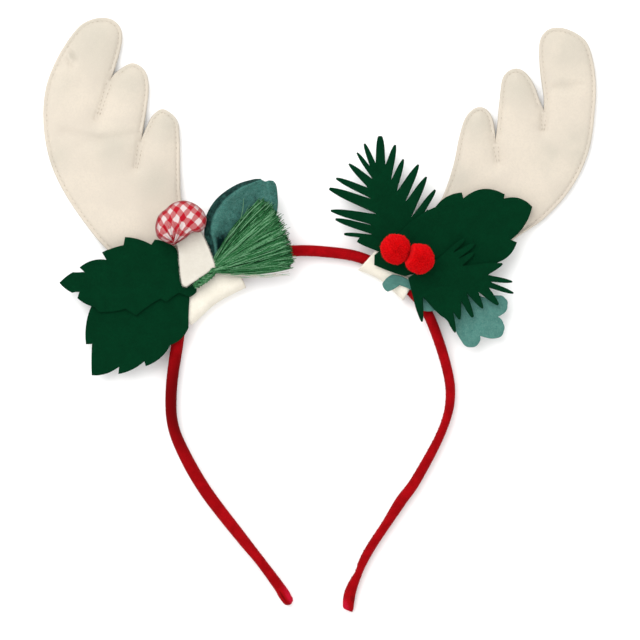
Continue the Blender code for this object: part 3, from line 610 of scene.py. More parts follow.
def felt_finish(name, colour, deep, pale, fibres=0.3, fibre_size=0.8, blotch_size=8.0, sheen=0.05, depth=0.14,
                cool_and_shade=None, toned=False):
    """Felt: its colour goes to the deep one in blotches and between tufts, to the pale one on fibres, and to
    the cool one with the piece's tone, which paints greyer patches that are partly shade. Toned felt goes
    from the deep colour to its own with the tone."""
    material, tree = finish_of(name, 0.95, sheen=sheen, sheen_roughness=0.6, sheen_tint=pale)
    tangle = node(tree, "ShaderNodeGroup", node_tree=tangle_group)
    tangle.inputs["Fibre size"].default_value = fibre_size
    tangle.inputs["Blotch size"].default_value = blotch_size
    out = tangle.outputs
    if toned:
        tone = tone_of(tree)
        uneven = scaled(tree, out["Grain"], 1.3, -0.7)
        uneven = sum_of(tree, "ADD", uneven, scaled(tree, out["Blotches"], 0.8, -0.4))
        base = mixed(tree, sum_of(tree, "ADD", tone, uneven), deep, colour)
        fibres = scaled(tree, tone, fibres)
    else:
        base = mixed(tree, graded(tree, out["Blotches"], 0.34, 0.66, 0.0, 0.7), colour, deep)
        base = mixed(tree, graded(tree, out["Grain"], 0.58, 0.36, 0.0, 0.6), base, deep)
    if cool_and_shade is not None:
        patch = scaled(tree, tone_of(tree), graded(tree, out["Blotches"], 0.3, 0.6, 0.4, 1.0))
        base = mixed(tree, patch, base, cool_and_shade)
    base = mixed(tree, scaled(tree, out["Fibres"], fibres), base, pale)
    paint(tree, base, scaled(tree, out["Fibres"], 0.45, out["Grain"]), depth=depth)
    return material


tangle_group = fibre_tangle()
cream_felt = felt_finish("cream_felt", dyed(245, 233, 215), dyed(234, 223, 207), dyed(251, 241, 226),
                         blotch_size=17.0, cool_and_shade=dyed(219, 212, 196))
chance = np.random.default_rng(2)
cream_thread, tree = finish_of("cream_thread", 0.8)
paint(tree, dyed(203, 190, 172))

for name, shape in (("left_antler", LEFT_ANTLER), ("right_antler", RIGHT_ANTLER)):
    outline = np.vstack([smooth_curve(run, 0.75)[:-1] for run in shape["runs"]])[::-1]
    flat, faces = cut_out(outline, FINE_RINGS, 1.7, shape["slits"], (*(-BESIDE_SLIT[::-1]), *BESIDE_SLIT))
    middle, half, _ = antler_form(shape, outline, flat)
    points, blocks = closed_sheet(flat, faces, len(outline), antler_top(shape, outline, flat), middle - half,
                                  TWO_LAYERS)
    # Greyer patches, partly uneven felt and partly painted shade at tine ends, edges and creases
    cool_and_shade = [bell(np.hypot(points[:, 0] - x, points[:, 1] - y), 0, far) for x, y, far in shape["cool_and_shade"]]
    dressed(f"{name}_felt", points, blocks, cream_felt, "cream_felt", name, fill=0.7,
            tone=0.75 * np.max(cool_and_shade, axis=0))

    places, headings = sewn_places(shape, outline)
    middle, half, _ = antler_form(shape, outline, places)
    front = np.column_stack((places, antler_top(shape, outline, places) + 0.06))
    back = np.column_stack((places, middle - half - 0.06))
    thickness = np.tile(0.17 * chance.uniform(0.35, 1.0, (len(places), 1)), (2, 1))
    sewing = stitches(np.vstack((front, back)), np.tile(headings, 2), 1.1, thickness)
    dressed(f"{name}_stitches", *sewing, cream_thread, "cream_felt")


# Wraps: a strip of ivory felt is folded round the inner side of the band at each antler's root and glued
# to both sides of the root.
WRAP_TOP = 9.5
WRAP_FELT = 1.2
WALL_STEPS = 13
LEFT_WRAP = (
    # fold x, fold y, direction of the walls in degrees, their length
    (-54.9, -4.6, 128.0, 24.0), (-50.4, -0.6, 125.0, 24.0), (-46.0, 3.2, 122.0, 24.0),
    (-40.0, 7.4, 118.0, 24.0), (-31.4, 11.4, 114.0, 22.0),
)
RIGHT_WRAP = (
    (16.8, 19.0, 48.0, 17.5), (22.3, 17.0, 52.0, 17.5), (28.6, 13.2, 56.0, 17.5), (36.2, 6.0, 62.0, 17.5),
)


def thick_grid(outer, inner, bulge=0.15):
    """Points and faces of a sheet between two grids of points, its cut edge bulging a little."""
    rows, columns = outer.shape[:2]
    index = np.arange(rows * columns).reshape(rows, columns)
    quads = np.stack((index[:-1, :-1], index[1:, :-1], index[1:, 1:], index[:-1, 1:]), axis=-1).reshape(-1, 4)
    out = np.zeros_like(outer)
    out[0] += outer[0] - outer[1]
    out[-1] += outer[-1] - outer[-2]
    out[:, 0] += outer[:, 0] - outer[:, 1]
    out[:, -1] += outer[:, -1] - outer[:, -2]
    loop = np.concatenate((index[0, :-1], index[:-1, -1], index[-1, :0:-1], index[:0:-1, 0]))
    middle = ((outer + inner) / 2).reshape(-1, 3)[loop] + bulge * unit(out.reshape(-1, 3)[loop])
    size = rows * columns
    rim = 2 * size + np.arange(len(loop))
    walls = [np.column_stack((a, b, np.roll(b, -1), np.roll(a, -1)))
             for a, b in ((loop, rim), (rim, loop + size))]
    points = np.vstack((outer.reshape(-1, 3), inner.reshape(-1, 3), middle))
    return points, [quads, quads[:, ::-1] + size, *walls]


def folded_strip(rows):
    """The outer and inner grids of a wrap: along each wall, round half a circle at the fold, and back."""
    x, y, direction, length = (column[:, None] for column in finer(rows, 9).T)
    bend = np.linspace(-math.pi / 2, math.pi / 2, 19)
    straight = np.linspace(1, 0, WALL_STEPS, endpoint=False)
    way = np.dstack((np.cos(np.radians(direction)), np.sin(np.radians(direction))))
    grids = []
    for radius in (WRAP_TOP / 2, WRAP_TOP / 2 - WRAP_FELT):
        fold = np.broadcast_to(WRAP_TOP / 2 - radius * np.cos(bend), (len(x), len(bend)))
        wall = fold[:, :1] + (length - fold[:, :1]) * straight
        reach = np.hstack((wall, fold, wall[:, ::-1]))
        level = np.concatenate((-np.ones(WALL_STEPS), np.sin(bend), np.ones(WALL_STEPS)))
        height = WRAP_TOP / 2 + radius * level
        ripple = 0.07 * np.sin(reach / 2.1 + x / 2.7) + 0.06 * np.sin(x / 1.9 - reach / 4.3)
        flat = np.dstack((x, y)) + way * (reach + 1.2 * ripple)[..., None]
        grids.append(np.dstack((flat, height + np.clip(ripple, 0, None) * (height > WRAP_TOP / 2))))
    return grids


# Painted light: the wraps are the stem's ivory felt painted lighter, past white, to lift the shade that falls
# on them
wrap_felt = felt_finish("wrap_felt", dyed(276, 269, 251), dyed(264, 256, 238), dyed(280, 275, 262),
                        fibres=0.4, fibre_size=0.7, blotch_size=5.0, depth=0.16)
for name, table, cut in (("left_wrap", LEFT_WRAP, (0.030, 0.052)),
                         ("right_wrap", RIGHT_WRAP, (0.026, 0.039))):
    piece = dressed(f"{name}_felt", *thick_grid(*folded_strip(table)), wrap_felt, "ivory_felt", name)


# Left leaves: two toothed leaves cut from dark green felt, the lower one glued on the wrap and the upper
# one on it. They droop a little past the wrap.
LEAF_FELT = 1.0
GAP = 0.3
LEVEL_1 = WRAP_TOP + GAP
LEVEL_2 = LEVEL_1 + LEAF_FELT + GAP
LEVEL_3 = LEVEL_2 + LEAF_FELT + GAP
LEVEL_4 = LEVEL_3 + LEAF_FELT + GAP

# Edges, anticlockwise: a point, and how far the edge after it swells outwards.
UPPER_LEAF = (
    # x, y, swell
    (-111.6, 13.6, 0.4), (-106.0, 9.3, -0.2), (-103.0, 9.6, 0.0), (-103.8, 7.0, 0.5), (-96.3, 3.0, 0.0),
    (-94.5, 1.0, 0.5), (-83.0, 2.4, 0.0), (-78.5, -0.6, -0.4), (-68.0, 6.8, 0.0), (-65.5, 5.2, -0.3),
    (-60.0, 9.2, 0.0), (-55.5, 7.4, 0.2), (-52.6, 9.6, 0.3), (-53.2, 12.8, 0.4), (-58.0, 18.0, 0.5),
    (-61.5, 28.5, 0.8), (-70.5, 32.2, 0.0), (-72.0, 30.0, 0.7), (-83.3, 33.3, 0.0), (-84.0, 29.8, 0.3),
    (-93.2, 26.7, 0.0), (-91.3, 23.5, 1.4), (-102.9, 20.2, 0.0), (-100.9, 18.3, -0.1), (-105.8, 18.2, 0.3),
)
LOWER_LEAF = (
    (-97.4, 4.6, 1.3), (-100.2, -12.8, 0.0), (-97.6, -12.7, 0.2), (-97.7, -26.2, 1.2), (-85.9, -22.4, 0.0),
    (-86.2, -25.6, 0.9), (-75.0, -20.1, 0.0), (-74.4, -22.2, 1.4), (-63.8, -13.1, 1.3), (-56.0, -5.5, -0.2),
    (-55.6, 7.0, 0.4), (-60.0, 14.0, 1.5), (-78.0, 18.0, 2.0),
)


def swelled_outline(rows, step=0.7):
    """A closed outline through the rows, each edge bowed outwards as a parabola by its swell."""
    rows = np.array(rows, float)
    run = np.roll(rows[:, :2], -1, axis=0) - rows[:, :2]
    index, t = shares(np.maximum(1, np.rint(np.linalg.norm(run, axis=1) / step)).astype(int))
    t = t[:, None]
    return rows[index, :2] + run[index] * t - left_of(unit(run))[index] * rows[index, 2:] * 4 * t * (1 - t)


def cut_felt(stands_for, outline, level, lie, material, slot, rests_on, felt=LEAF_FELT, cell=2.2):
    """A piece of felt cut to the outline, its under side as far over the level as the lie says, both faces
    rounded down to the cut edge; what carries it is not used."""
    flat, faces = cut_out(outline, (0.15, 0.4, 0.8, 1.4), cell)
    half = felt / 2 * (0.6 + 0.4 * rounding(edge_place(flat, outline)[0], 0.45))
    middle = level + lie(*flat.T) + felt / 2
    points, blocks = closed_sheet(flat, faces, len(outline), middle + half, middle - half)
    piece = dressed(f"{stands_for}_felt", points, blocks, material, slot, stands_for)


def left_lie(x, y):
    """How the left leaves lie over their level: a droop past the wrap, with slow waves in it."""
    waves = 0.30 * np.sin(x / 7.5 + y / 13) + 0.25 * np.sin(y / 6.5 - x / 17 + 1)
    free = smoothstep((-64.0 - x) / 22.0)
    return waves * free - 2.0 * smoothstep((-66.0 - x) / 50.0)


green_felt = felt_finish("green_felt", dyed(0, 53, 28), dyed(0, 45, 23), dyed(8, 72, 42), fibres=0.45,
                         fibre_size=0.9, blotch_size=6.0, sheen=0.0)
cut_felt("left_leaf_lower", swelled_outline(LOWER_LEAF), LEVEL_1, left_lie, green_felt, "green_felt",
         ["left_wrap_felt"])
cut_felt("left_leaf_upper", swelled_outline(UPPER_LEAF), LEVEL_2, left_lie, green_felt, "green_felt",
         ["left_leaf_lower_felt"])


# Teal leaf: a piece of teal felt, pinched at its base into a cup. Its rim stands up, and the edge outside
# the rim turns down again; it is glued on the wrap behind the tassel.
TEAL_ROWS = (
    # left edge x, y, left crest x, y, hollow x, y, right crest x, y, right edge x, y, rise of left crest,
    # of the hollow, of the right crest
    (-46.4, 22.0, -43.8, 23.4, -42.2, 22.6, -41.0, 21.4, -40.0, 20.4, 1.0, 0.2, 0.2),
    (-49.0, 29.2, -44.8, 29.6, -40.6, 26.4, -36.0, 24.0, -34.0, 22.0, 2.9, 0.3, 0.3),
    (-49.2, 35.6, -46.0, 35.6, -38.4, 31.0, -29.0, 28.2, -26.6, 26.0, 4.8, 0.5, 0.4),
    (-48.2, 42.6, -44.6, 42.2, -35.2, 37.4, -23.6, 36.4, -20.2, 35.6, 5.6, 0.7, 0.6),
    (-43.6, 49.9, -40.2, 48.8, -31.6, 44.2, -20.6, 45.4, -17.9, 45.6, 5.8, 1.0, 1.2),
    (-35.8, 55.5, -34.0, 53.8, -28.0, 49.6, -21.4, 51.8, -17.9, 51.4, 5.4, 1.8, 2.8),
    (-28.6, 57.9, -28.0, 56.6, -25.4, 54.2, -21.9, 55.2, -18.5, 55.6, 5.0, 3.0, 4.0),
    (-25.2, 58.3, -24.6, 57.7, -23.2, 57.0, -21.4, 57.4, -19.6, 57.3, 4.0, 3.4, 3.8),
)
TEAL_TURN_DOWN = 2.6

table = np.array(TEAL_ROWS)
edge_l, crest_l, hollow, crest_r, edge_r = (table[:, k:k + 2] for k in range(0, 10, 2))
rise_l, dip, rise_r = (table[:, k:k + 1] for k in (10, 11, 12))
halfway_r = np.where(rise_r > dip, (rise_r + 3 * dip) / 4, dip)
section = [(edge_l, np.maximum(0, rise_l - TEAL_TURN_DOWN)), (crest_l, rise_l),
           ((crest_l + hollow) / 2, (rise_l + 3 * dip) / 4), (hollow, dip),
           ((crest_r + hollow) / 2, halfway_r), (crest_r, rise_r),
           (edge_r, np.maximum(0, rise_r - TEAL_TURN_DOWN))]
cup = np.stack([np.hstack((flat, height + LEVEL_1)) for flat, height in section], axis=1)
cup = finer(finer(cup, 8).swapaxes(0, 1), 11).swapaxes(0, 1)
x, y = cup[..., 0], cup[..., 1]
cup[..., 2] += np.clip(0.12 * np.sin(x / 2.6 + y / 3.4) + 0.1 * np.sin(y / 2.1 - x / 4.7), 0, None)
along = np.linspace(0, 7, cup.shape[0])[:, None]  # from the base to the tip
across = np.linspace(0, 6, cup.shape[1])  # from edge to edge: the crests are at 1 and 5
# Painted light and shade: painted shade in the hollow near the base and on the turned-down edges, a painted
# highlight along the left crest
deep = 1.15 * bell(along, 1.1, 1.1) * bell(across, 2.3, 0.9) + 0.22 * bell(across, 2.9, 1.1)
crest_painted_highlight = 0.16 * bell(across, 1.25, 0.3) * smoothstep((4.5 - along) / 3.0)
turned = 0.66 * smoothstep((1.05 - across) / 0.3) + 0.2 * smoothstep((across - 5.0) / 0.25)
teal_painted_light = (0.80 - deep - turned + crest_painted_highlight).ravel()
border = (cup.shape[0] + cup.shape[1] - 2) * 2

# the tone carries the painted light and shade, from the deep colour to the felt's own
teal_felt = felt_finish("teal_felt", dyed(72, 137, 126), dyed(4, 36, 35), dyed(130, 178, 166), fibres=0.6,
                        fibre_size=1.0, blotch_size=3.5, depth=0.2, toned=True)
# the back and the cut edge are painted darker, as shade
teal_painted_light_and_shade = np.concatenate((teal_painted_light, teal_painted_light * 0.6, np.full(border, 0.25)))
piece = dressed("teal_leaf_felt", *thick_grid(cup + (0, 0, LEAF_FELT), cup), teal_felt, "teal_felt",
                "teal_leaf", tone=teal_painted_light_and_shade)


# Tassel: some hundreds of green cotton threads. A few turns bind them into a twisted neck, and from there
# they fan out in loose locks over the teal leaf and the band.
THREAD = 0.19  # half its thickness
STRAY_SIZE = 0.55  # of that, for a loose thread
THREAD_COUNT = 800
LOCKS = 30
START_SPREAD = 0.02  # of a lock's threads, as a share of the fan from side to side
END_SPREAD = 0.042
BOW_SPREAD = 0.75
NECK = (
    # x, y, half width of the bundle
    (-53.6, 12.0, 0.5), (-52.3, 12.8, 1.0), (-50.2, 14.2, 1.15), (-48.0, 15.8, 1.1), (-45.8, 17.7, 1.05),
)
FAN_SIDES = (
    # start x, y, end x, y, bow to the left, from the fan's lower side to its upper side
    (-44.4, 18.0, -11.9, 20.0, -0.6), (-44.4, 18.4, -11.3, 23.4, -0.5), (-44.4, 18.8, -11.7, 27.0, -0.4),
    (-44.4, 19.2, -12.6, 30.6, -0.3), (-44.5, 19.6, -13.9, 34.4, 0.0), (-44.6, 20.0, -15.3, 38.0, 0.2),
    (-44.8, 20.5, -17.0, 41.6, 0.2), (-45.1, 21.0, -19.3, 44.9, 0.2), (-45.4, 21.6, -21.6, 47.4, 0.1),
    (-45.7, 22.1, -24.0, 48.9, -0.1), (-46.0, 22.6, -26.4, 48.8, -0.4),
)
STRAYS = (
    # loose threads: side of the fan where they start, end x, y, bow, tone
    (0.97, -32.5, 49.8, -3.4, 1.3), (0.93, -29.6, 47.0, -1.2, 0.7), (0.99, -31.0, 44.0, 0.9, 0.6),
    (0.90, -23.6, 50.6, 0.8, 0.7), (0.80, -18.2, 47.6, 0.6, 0.6), (0.66, -15.2, 43.0, -0.9, 0.6),
    (0.50, -12.3, 37.3, 0.8, 0.7), (0.30, -10.6, 29.8, 0.7, 0.6), (0.16, -10.2, 22.6, -0.6, 0.7),
    (0.0, -12.6, 16.7, -1.1, 2.1), (0.01, -15.5, 17.3, -0.8, 1.8), (0.0, -12.9, 18.4, -1.4, 2.1),
    (0.0, -18.5, 17.2, -1.0, 2.0), (0.03, -12.3, 17.6, -1.9, 1.9), (0.0, -22.0, 17.8, -0.7, 1.7),
)
NECK_HEIGHT = 1.15  # of its middle
TWIST = 0.95  # how far the neck turns from one of its rows to the next
FAN_RISE = 2.5
FAN_LIFT = 0.9  # rise of the fan's under side towards its end

chance = np.random.default_rng(11)
strays = np.array(STRAYS)
clump = np.linspace(0.0, 1.0, LOCKS) + chance.uniform(-0.014, 0.014, LOCKS)
chosen = chance.integers(0, LOCKS, THREAD_COUNT)
share = np.clip(clump[chosen] + chance.normal(0, START_SPREAD, THREAD_COUNT), -0.01, 1.01)
share_end = np.clip(clump[chosen] + chance.normal(0, END_SPREAD, THREAD_COUNT), -0.015, 1.02)
level = chance.uniform(0, 1, THREAD_COUNT)
tone = np.clip(0.46 + 0.27 * chance.normal(0, 1, THREAD_COUNT) + 0.06 * np.sin(chosen * 3.1), 0, 1.15)
short = np.abs(chance.normal(0, 0.04, THREAD_COUNT)) + 0.022 * np.sin(chosen * 2.4)
short = np.where(chance.uniform(0, 1, THREAD_COUNT) < 0.07, -0.05 * level, short)
bow = BOW_SPREAD * chance.normal(0, 1, THREAD_COUNT)

sides = np.array(FAN_SIDES)
from_side = np.linspace(0, 1, len(sides))
at_side = np.concatenate((share, strays[:, 0]))
start = np.column_stack([np.interp(at_side, from_side, sides[:, k]) for k in (0, 1)])
end = np.column_stack([np.interp(share_end, from_side, sides[:, k]) for k in (2, 3)])
end = end - (end - start[:THREAD_COUNT]) * short[:, None]
run = np.vstack((end, strays[:, 1:3])) - start
bow = np.concatenate((bow + np.interp(share, from_side, sides[:, 4]), strays[:, 3]))[:, None]
tone = np.concatenate((tone, strays[:, 4]))[:, None]
level = np.concatenate((level, np.full(len(strays), 0.9)))[:, None]
share = at_side[:, None]
count = len(share)

# In the neck each thread keeps its place in the twisted bundle; then it runs to its start in the fan,
# and from there to its end on a parabola, t along and 4t(1 - t) times its bow to the left, a little wavy.
neck = finer(NECK, 2)
turn = chance.uniform(0, 2 * math.pi, count)[:, None] + TWIST * np.arange(len(neck))
off_centre = np.sqrt(chance.uniform(0.1, 1.1, count))[:, None]
off_centre = off_centre * np.where(chance.uniform(0, 1, turn.shape) < 0.06, 1.4, 1.0)
sideways = off_centre * np.cos(turn) * neck[:, 2] + 0.2 * chance.normal(0, 1, turn.shape)
in_neck = neck[:, :2] + sideways[..., None] * left_of(unit(neck[-1, :2] - neck[0, :2]))
neck_z = NECK_HEIGHT * (1 + 0.9 * off_centre * np.sin(turn)) + 0.15

t = np.concatenate(((0.0, 0.06), np.linspace(0.12, 1, 12)))
wavy = np.sin(chance.uniform(5, 15, count)[:, None] * t + chance.uniform(0, 6, count)[:, None])
wavy = wavy * chance.uniform(0.08, 0.3, count)[:, None]
off = bow * 4 * t * (1 - t) + wavy
fan = start[:, None] + run[:, None] * t[:, None] + left_of(unit(run))[:, None] * off[..., None]
crown = FAN_RISE * (1 - 0.42 * t) * np.sqrt(np.clip(1.1 - (2 * share - 1) ** 2, 0.1, 1))
under_stem = smoothstep((share - 0.25) / 0.2) * (1 - smoothstep((t - 0.03) / 0.14))
crown = crown * (1 - 0.6 * under_stem)
fan_z = 0.15 + FAN_LIFT * t**2 + 0.9 * share * smoothstep(t / 0.2) * (1 - t) + crown * level**0.8
threads = np.concatenate((np.dstack((in_neck, neck_z)), np.dstack((fan, fan_z))), axis=1)
threads[..., 2] += LEVEL_3
radius = THREAD * np.concatenate((np.full(len(neck), 0.9), np.linspace(1.0, 1.05, len(t) - 1), [0.7]))
radius = radius * np.where(np.arange(count) < THREAD_COUNT, 1.0, STRAY_SIZE)[:, None]
# Painted shade: how deep a thread lies in the bundle darkens it
depth = np.concatenate((0.6 + 0.5 * np.sin(turn), level + 0 * t), axis=1)
depth = depth + 0.22 * chance.normal(0, 1, depth.shape)
thread_tone_and_painted_shade = np.repeat((tone * (0.25 + 0.75 * depth))[..., None], 4, axis=2)

# Each thread has its own tone, from dark to pale, with the ply's fine barring; a few loose ones are nearly
# white. Threads at the back of the neck and low in the fan are painted darker, as painted shade.
PALE_THREAD = dyed(124, 178, 134)
green_thread, tree = finish_of("green_thread", 0.7, sheen=0.05, sheen_roughness=0.4, sheen_tint=PALE_THREAD)
ply = noise_of(tree, 1900.0, 2.0)
own = sum_of(tree, "ADD", tone_of(tree), scaled(tree, ply, 0.9, -0.45))
base = mixed(tree, graded(tree, own, 0.0, 0.4), dyed(5, 44, 20), dyed(52, 119, 69))
base = mixed(tree, graded(tree, own, 0.4, 0.85), base, PALE_THREAD)
paint(tree, mixed(tree, graded(tree, own, 1.5, 1.9), base, dyed(214, 210, 194)), ply, depth=0.08)
dressed("tassel_threads", *tubes(threads, radius, 4), green_thread, "green_thread", "tassel",
        tone=thread_tone_and_painted_shade)

# Inner threads, packed too close to be seen one by one, painted the darkest green as painted shade
core_t = np.linspace(0.0, 0.9, 12)[:, None]
core_flat = sides[:, :2] + (sides[:, 2:4] - sides[:, :2]) * core_t[..., None]
core_crown = 0.5 * np.sqrt(1.02 - np.linspace(-1, 1, len(sides)) ** 2) * (1 - 0.4 * core_t)
core_low = np.dstack((core_flat, LEVEL_3 + 0.05 + FAN_LIFT * core_t**2 + 0 * core_crown))
core_high = core_low.copy()
core_high[..., 2] += 0.25 + core_crown
points, blocks = thick_grid(core_high, core_low)
dressed("tassel_inner_threads", points, blocks, green_thread, "green_thread", tone=np.zeros(len(points)))


# Mushroom: the cap is a disc of red gingham gathered round a ball of stuffing, its gathers drawn in
# towards the stem; the stem is a piece of thick ivory felt whose top is glued over the cap's lower edge.
CAP_CENTRE = np.array((-59.0, 39.6))
CAP_REACH = 9.9  # half the width of its hidden round part
CAP_HEIGHT = 5.6  # half of it
CAP_DRAPE = 8.5  # half the height of the ball whose span of cloth is gathered over it
CAP_ROWS = 80
CAP_COLUMNS = 180
CHECK = 2.6
CHECK_TURN = math.radians(50)
CHECK_START = np.array((-1.0, 1.2))  # where on the cloth the pattern starts
GATHER = np.array((-61.9, 30.6))
PLEAT = 0.6  # half the depth of a pleat beside the gather
DRAWN_IN = 4.2  # how far the cloth moves towards the gather
TUCKED = 0.75  # and how far to its side from pleat to pleat
CAP_EDGE = (
    # the cap's outline from the front, anticlockwise
    (-48.1, 40.8), (-49.1, 43.7), (-51.1, 45.9), (-52.9, 47.2), (-55.1, 48.2), (-58.1, 48.8), (-60.8, 48.3),
    (-63.0, 47.4), (-64.7, 46.1), (-66.0, 44.8), (-67.6, 43.7), (-68.9, 42.1), (-69.7, 40.0), (-70.1, 37.8),
    (-70.0, 35.6), (-69.6, 33.8), (-68.7, 32.6), (-67.1, 31.7), (-64.5, 30.4), (-62.2, 29.6), (-60.6, 30.6),
    (-58.4, 32.0), (-56.2, 33.5), (-54.9, 34.8), (-53.4, 35.3), (-51.6, 35.2), (-50.0, 35.9), (-48.7, 37.6),
)
STEM_OUTLINE = (
    # x, y, swell; from the left foot, anticlockwise; the top is tucked under the cap
    (-59.0, 14.0, 0.15), (-58.4, 12.5, 0.2), (-56.8, 12.0, 0.2), (-45.6, 19.6, 0.2), (-44.7, 20.5, 0.1),
    (-44.8, 21.8, 0.2), (-50.4, 35.4, 0.0), (-52.2, 36.0, 0.0), (-56.4, 34.8, 0.0), (-61.3, 30.9, -0.3),
    (-60.1, 25.5, 0.2),
)
STEM_FELT = 1.6

edge_at = np.array(CAP_EDGE) - CAP_CENTRE
edge_angle = np.unwrap(np.arctan2(edge_at[:, 1], edge_at[:, 0]))
edge_reach = np.linalg.norm(edge_at, axis=1)
around = np.linspace(0, 2 * math.pi, CAP_COLUMNS, endpoint=False)
down = np.linspace(0.0, math.pi, CAP_ROWS)[:, None]
seen_reach = np.interp(around, edge_angle, edge_reach, period=2 * math.pi)
even_reach = CAP_REACH + np.cos(2 * (around - math.radians(14)))
at_edge = smoothstep(np.sin(down) * 1.6 - 0.55)
reach = even_reach + (seen_reach - even_reach) * at_edge
flat = reach * np.sin(down)
cap_x = CAP_CENTRE[0] + flat * np.cos(around)
cap_y = CAP_CENTRE[1] + flat * np.sin(around)
from_gather = np.dstack((cap_x, cap_y)) - GATHER
near = np.linalg.norm(from_gather, axis=2)
gather_way = np.arctan2(from_gather[..., 1], from_gather[..., 0])
pleat_wave = np.cos(19 * gather_way + 0.8 * np.sin(3 * gather_way) + 0.6)
pleats = PLEAT * pleat_wave * bell(near, 0, 9.5) * np.clip(near / 1.2, 0, 1)
folds = 0.22 * np.sin(6 * around + 2.6 * down) * np.sin(down) ** 2
cap_z = LEVEL_3 + CAP_HEIGHT * (1 + np.cos(down)) + (pleats + folds) * np.where(down < 2.2, 1.0, 0.0)
stretch = np.hypot(even_reach * np.cos(down), CAP_DRAPE * np.sin(down))
ground = np.cumsum(stretch, axis=0) * math.pi / (CAP_ROWS - 1)
cloth = ground[..., None] * np.dstack((np.cos(around), np.sin(around)))
# Near the gather the cloth is drawn in, shifted from pleat to pleat, and crumpled
away = from_gather / np.maximum(near, 0.2)[..., None]
tuck_wave = np.sin(14 * gather_way + 1.3 * np.sin(3 * gather_way + near / 5) + 0.6)
tucked = TUCKED * tuck_wave * bell(near, 0, 10)
cloth = cloth + DRAWN_IN * bell(near, 0, 13)[..., None] * away + tucked[..., None] * left_of(away)
crumple = np.dstack((np.sin(cap_x * 1.9 + cap_y * 0.8) + np.sin(cap_y * 1.3 - cap_x * 0.5),
                     np.sin(cap_y * 1.7 - cap_x * 1.1) + np.sin(cap_x * 0.9 + 2.0)))
cloth = cloth + crumple * (0.1 + 0.3 * bell(near, 0, 9))[..., None]
# Painted shade: darker towards the rim and in the pleats' hollows beside the gather
cap_painted_shade = 0.12 + 0.65 * smoothstep((np.sin(down) - 0.8) / 0.2)
cap_painted_shade = cap_painted_shade + 0.4 * np.clip(-pleat_wave, 0, 1) * bell(near, 0, 7.5)
cap_points = np.dstack((cap_x, cap_y, cap_z))
for end, beside in ((0, 1), (-1, -2)):  # a small ring in place of each pole
    cap_points[end, :, :2] = CAP_CENTRE + (cap_points[beside, :, :2] - CAP_CENTRE) * 0.05

# Gingham: red and white bands of warp and weft, with the over and under of the threads. The piece's uv
# counts pairs of checks.
THREADS_A_PAIR = 13
gingham, tree = finish_of("gingham", 0.85, sheen=0.1)
split = node(tree, "ShaderNodeSeparateXYZ", {0: node(tree, "ShaderNodeUVMap", uv_map="cloth").outputs["UV"]})
bands, threads = [], []
for along in split.outputs[:2]:
    wave, ripple = (sum_of(tree, "SINE", scaled(tree, along, 2 * math.pi * count), 0.0)
                    for count in (1, THREADS_A_PAIR))
    bands.append(graded(tree, wave, -0.12, 0.12))
    threads.append(ripple)
over = graded(tree, scaled(tree, *threads), -0.35, 0.35)
both = scaled(tree, *bands)
single = sum_of(tree, "SUBTRACT", sum_of(tree, "MAXIMUM", *bands), both)
pink = scaled(tree, over, 0.34, 0.6)
redness = scaled(tree, single, pink, both)
base = mixed(tree, redness, dyed(252, 238, 234), dyed(206, 22, 44))
# painted shade, carried by the piece's tone
base = mixed(tree, tone_of(tree), base, mixed(tree, 1.0, base, dyed(210, 120, 130), blend="MULTIPLY"))
paint(tree, base, sum_of(tree, "ADD", *(sum_of(tree, "ABSOLUTE", one, 0.0) for one in threads)), depth=0.07)

cap = dressed("mushroom_cap_gingham", cap_points, closed_tube(CAP_ROWS, CAP_COLUMNS), gingham, "gingham",
              "mushroom_cap", fill=0.9, tone=cap_painted_shade)
weft = np.array((math.cos(CHECK_TURN), math.sin(CHECK_TURN)))
turned = np.column_stack((weft, left_of(weft)))
pairs = (cloth.reshape(-1, 2) @ turned - CHECK_START) / (2 * CHECK) + 0.25
corners = np.empty(len(cap.data.loops), dtype=np.int32)
cap.data.loops.foreach_get("vertex_index", corners)
cap.data.uv_layers.new(name="cloth").data.foreach_set("uv", pairs[corners].ravel())

ivory_felt = felt_finish("ivory_felt", dyed(250, 244, 230), dyed(238, 231, 216), dyed(255, 251, 242),
                         fibres=0.4, fibre_size=0.7, blotch_size=5.0, depth=0.16)
stem_outline = swelled_outline(STEM_OUTLINE, 0.6)
cut_felt("mushroom_stem", stem_outline, LEVEL_3, lambda x, y: 0 * x, ivory_felt, "ivory_felt",
         ["left_wrap_felt"], felt=STEM_FELT, cell=1.5)

# Fibres that stand out of the stem's cut edge
FUZZ = 900
FUZZ_RADII = np.linspace(0.07, 0.03, 4)
chance = np.random.default_rng(3)
at = chance.integers(0, len(stem_outline), FUZZ)
out = -inward(stem_outline)[at]
way = out + left_of(out) * chance.normal(0, 0.8, FUZZ)[:, None]
root = stem_outline[at] - out * 0.3 + left_of(out) * chance.uniform(-0.3, 0.3, FUZZ)[:, None]
step = np.linspace(0, 1, len(FUZZ_RADII))
reach = chance.uniform(0.35, 0.95, FUZZ)[:, None, None] * step[:, None]
curl = 0.25 * chance.normal(0, 1, FUZZ)[:, None] * step**2
paths = root[:, None] + unit(way)[:, None] * reach + left_of(way)[:, None] * curl[..., None]
high = LEVEL_3 + STEM_FELT * chance.uniform(0.3, 1.0, FUZZ)[:, None] + 0 * curl
dressed("mushroom_stem_fuzz", *tubes(np.dstack((paths, high)), FUZZ_RADII, 3), ivory_felt, "ivory_felt")


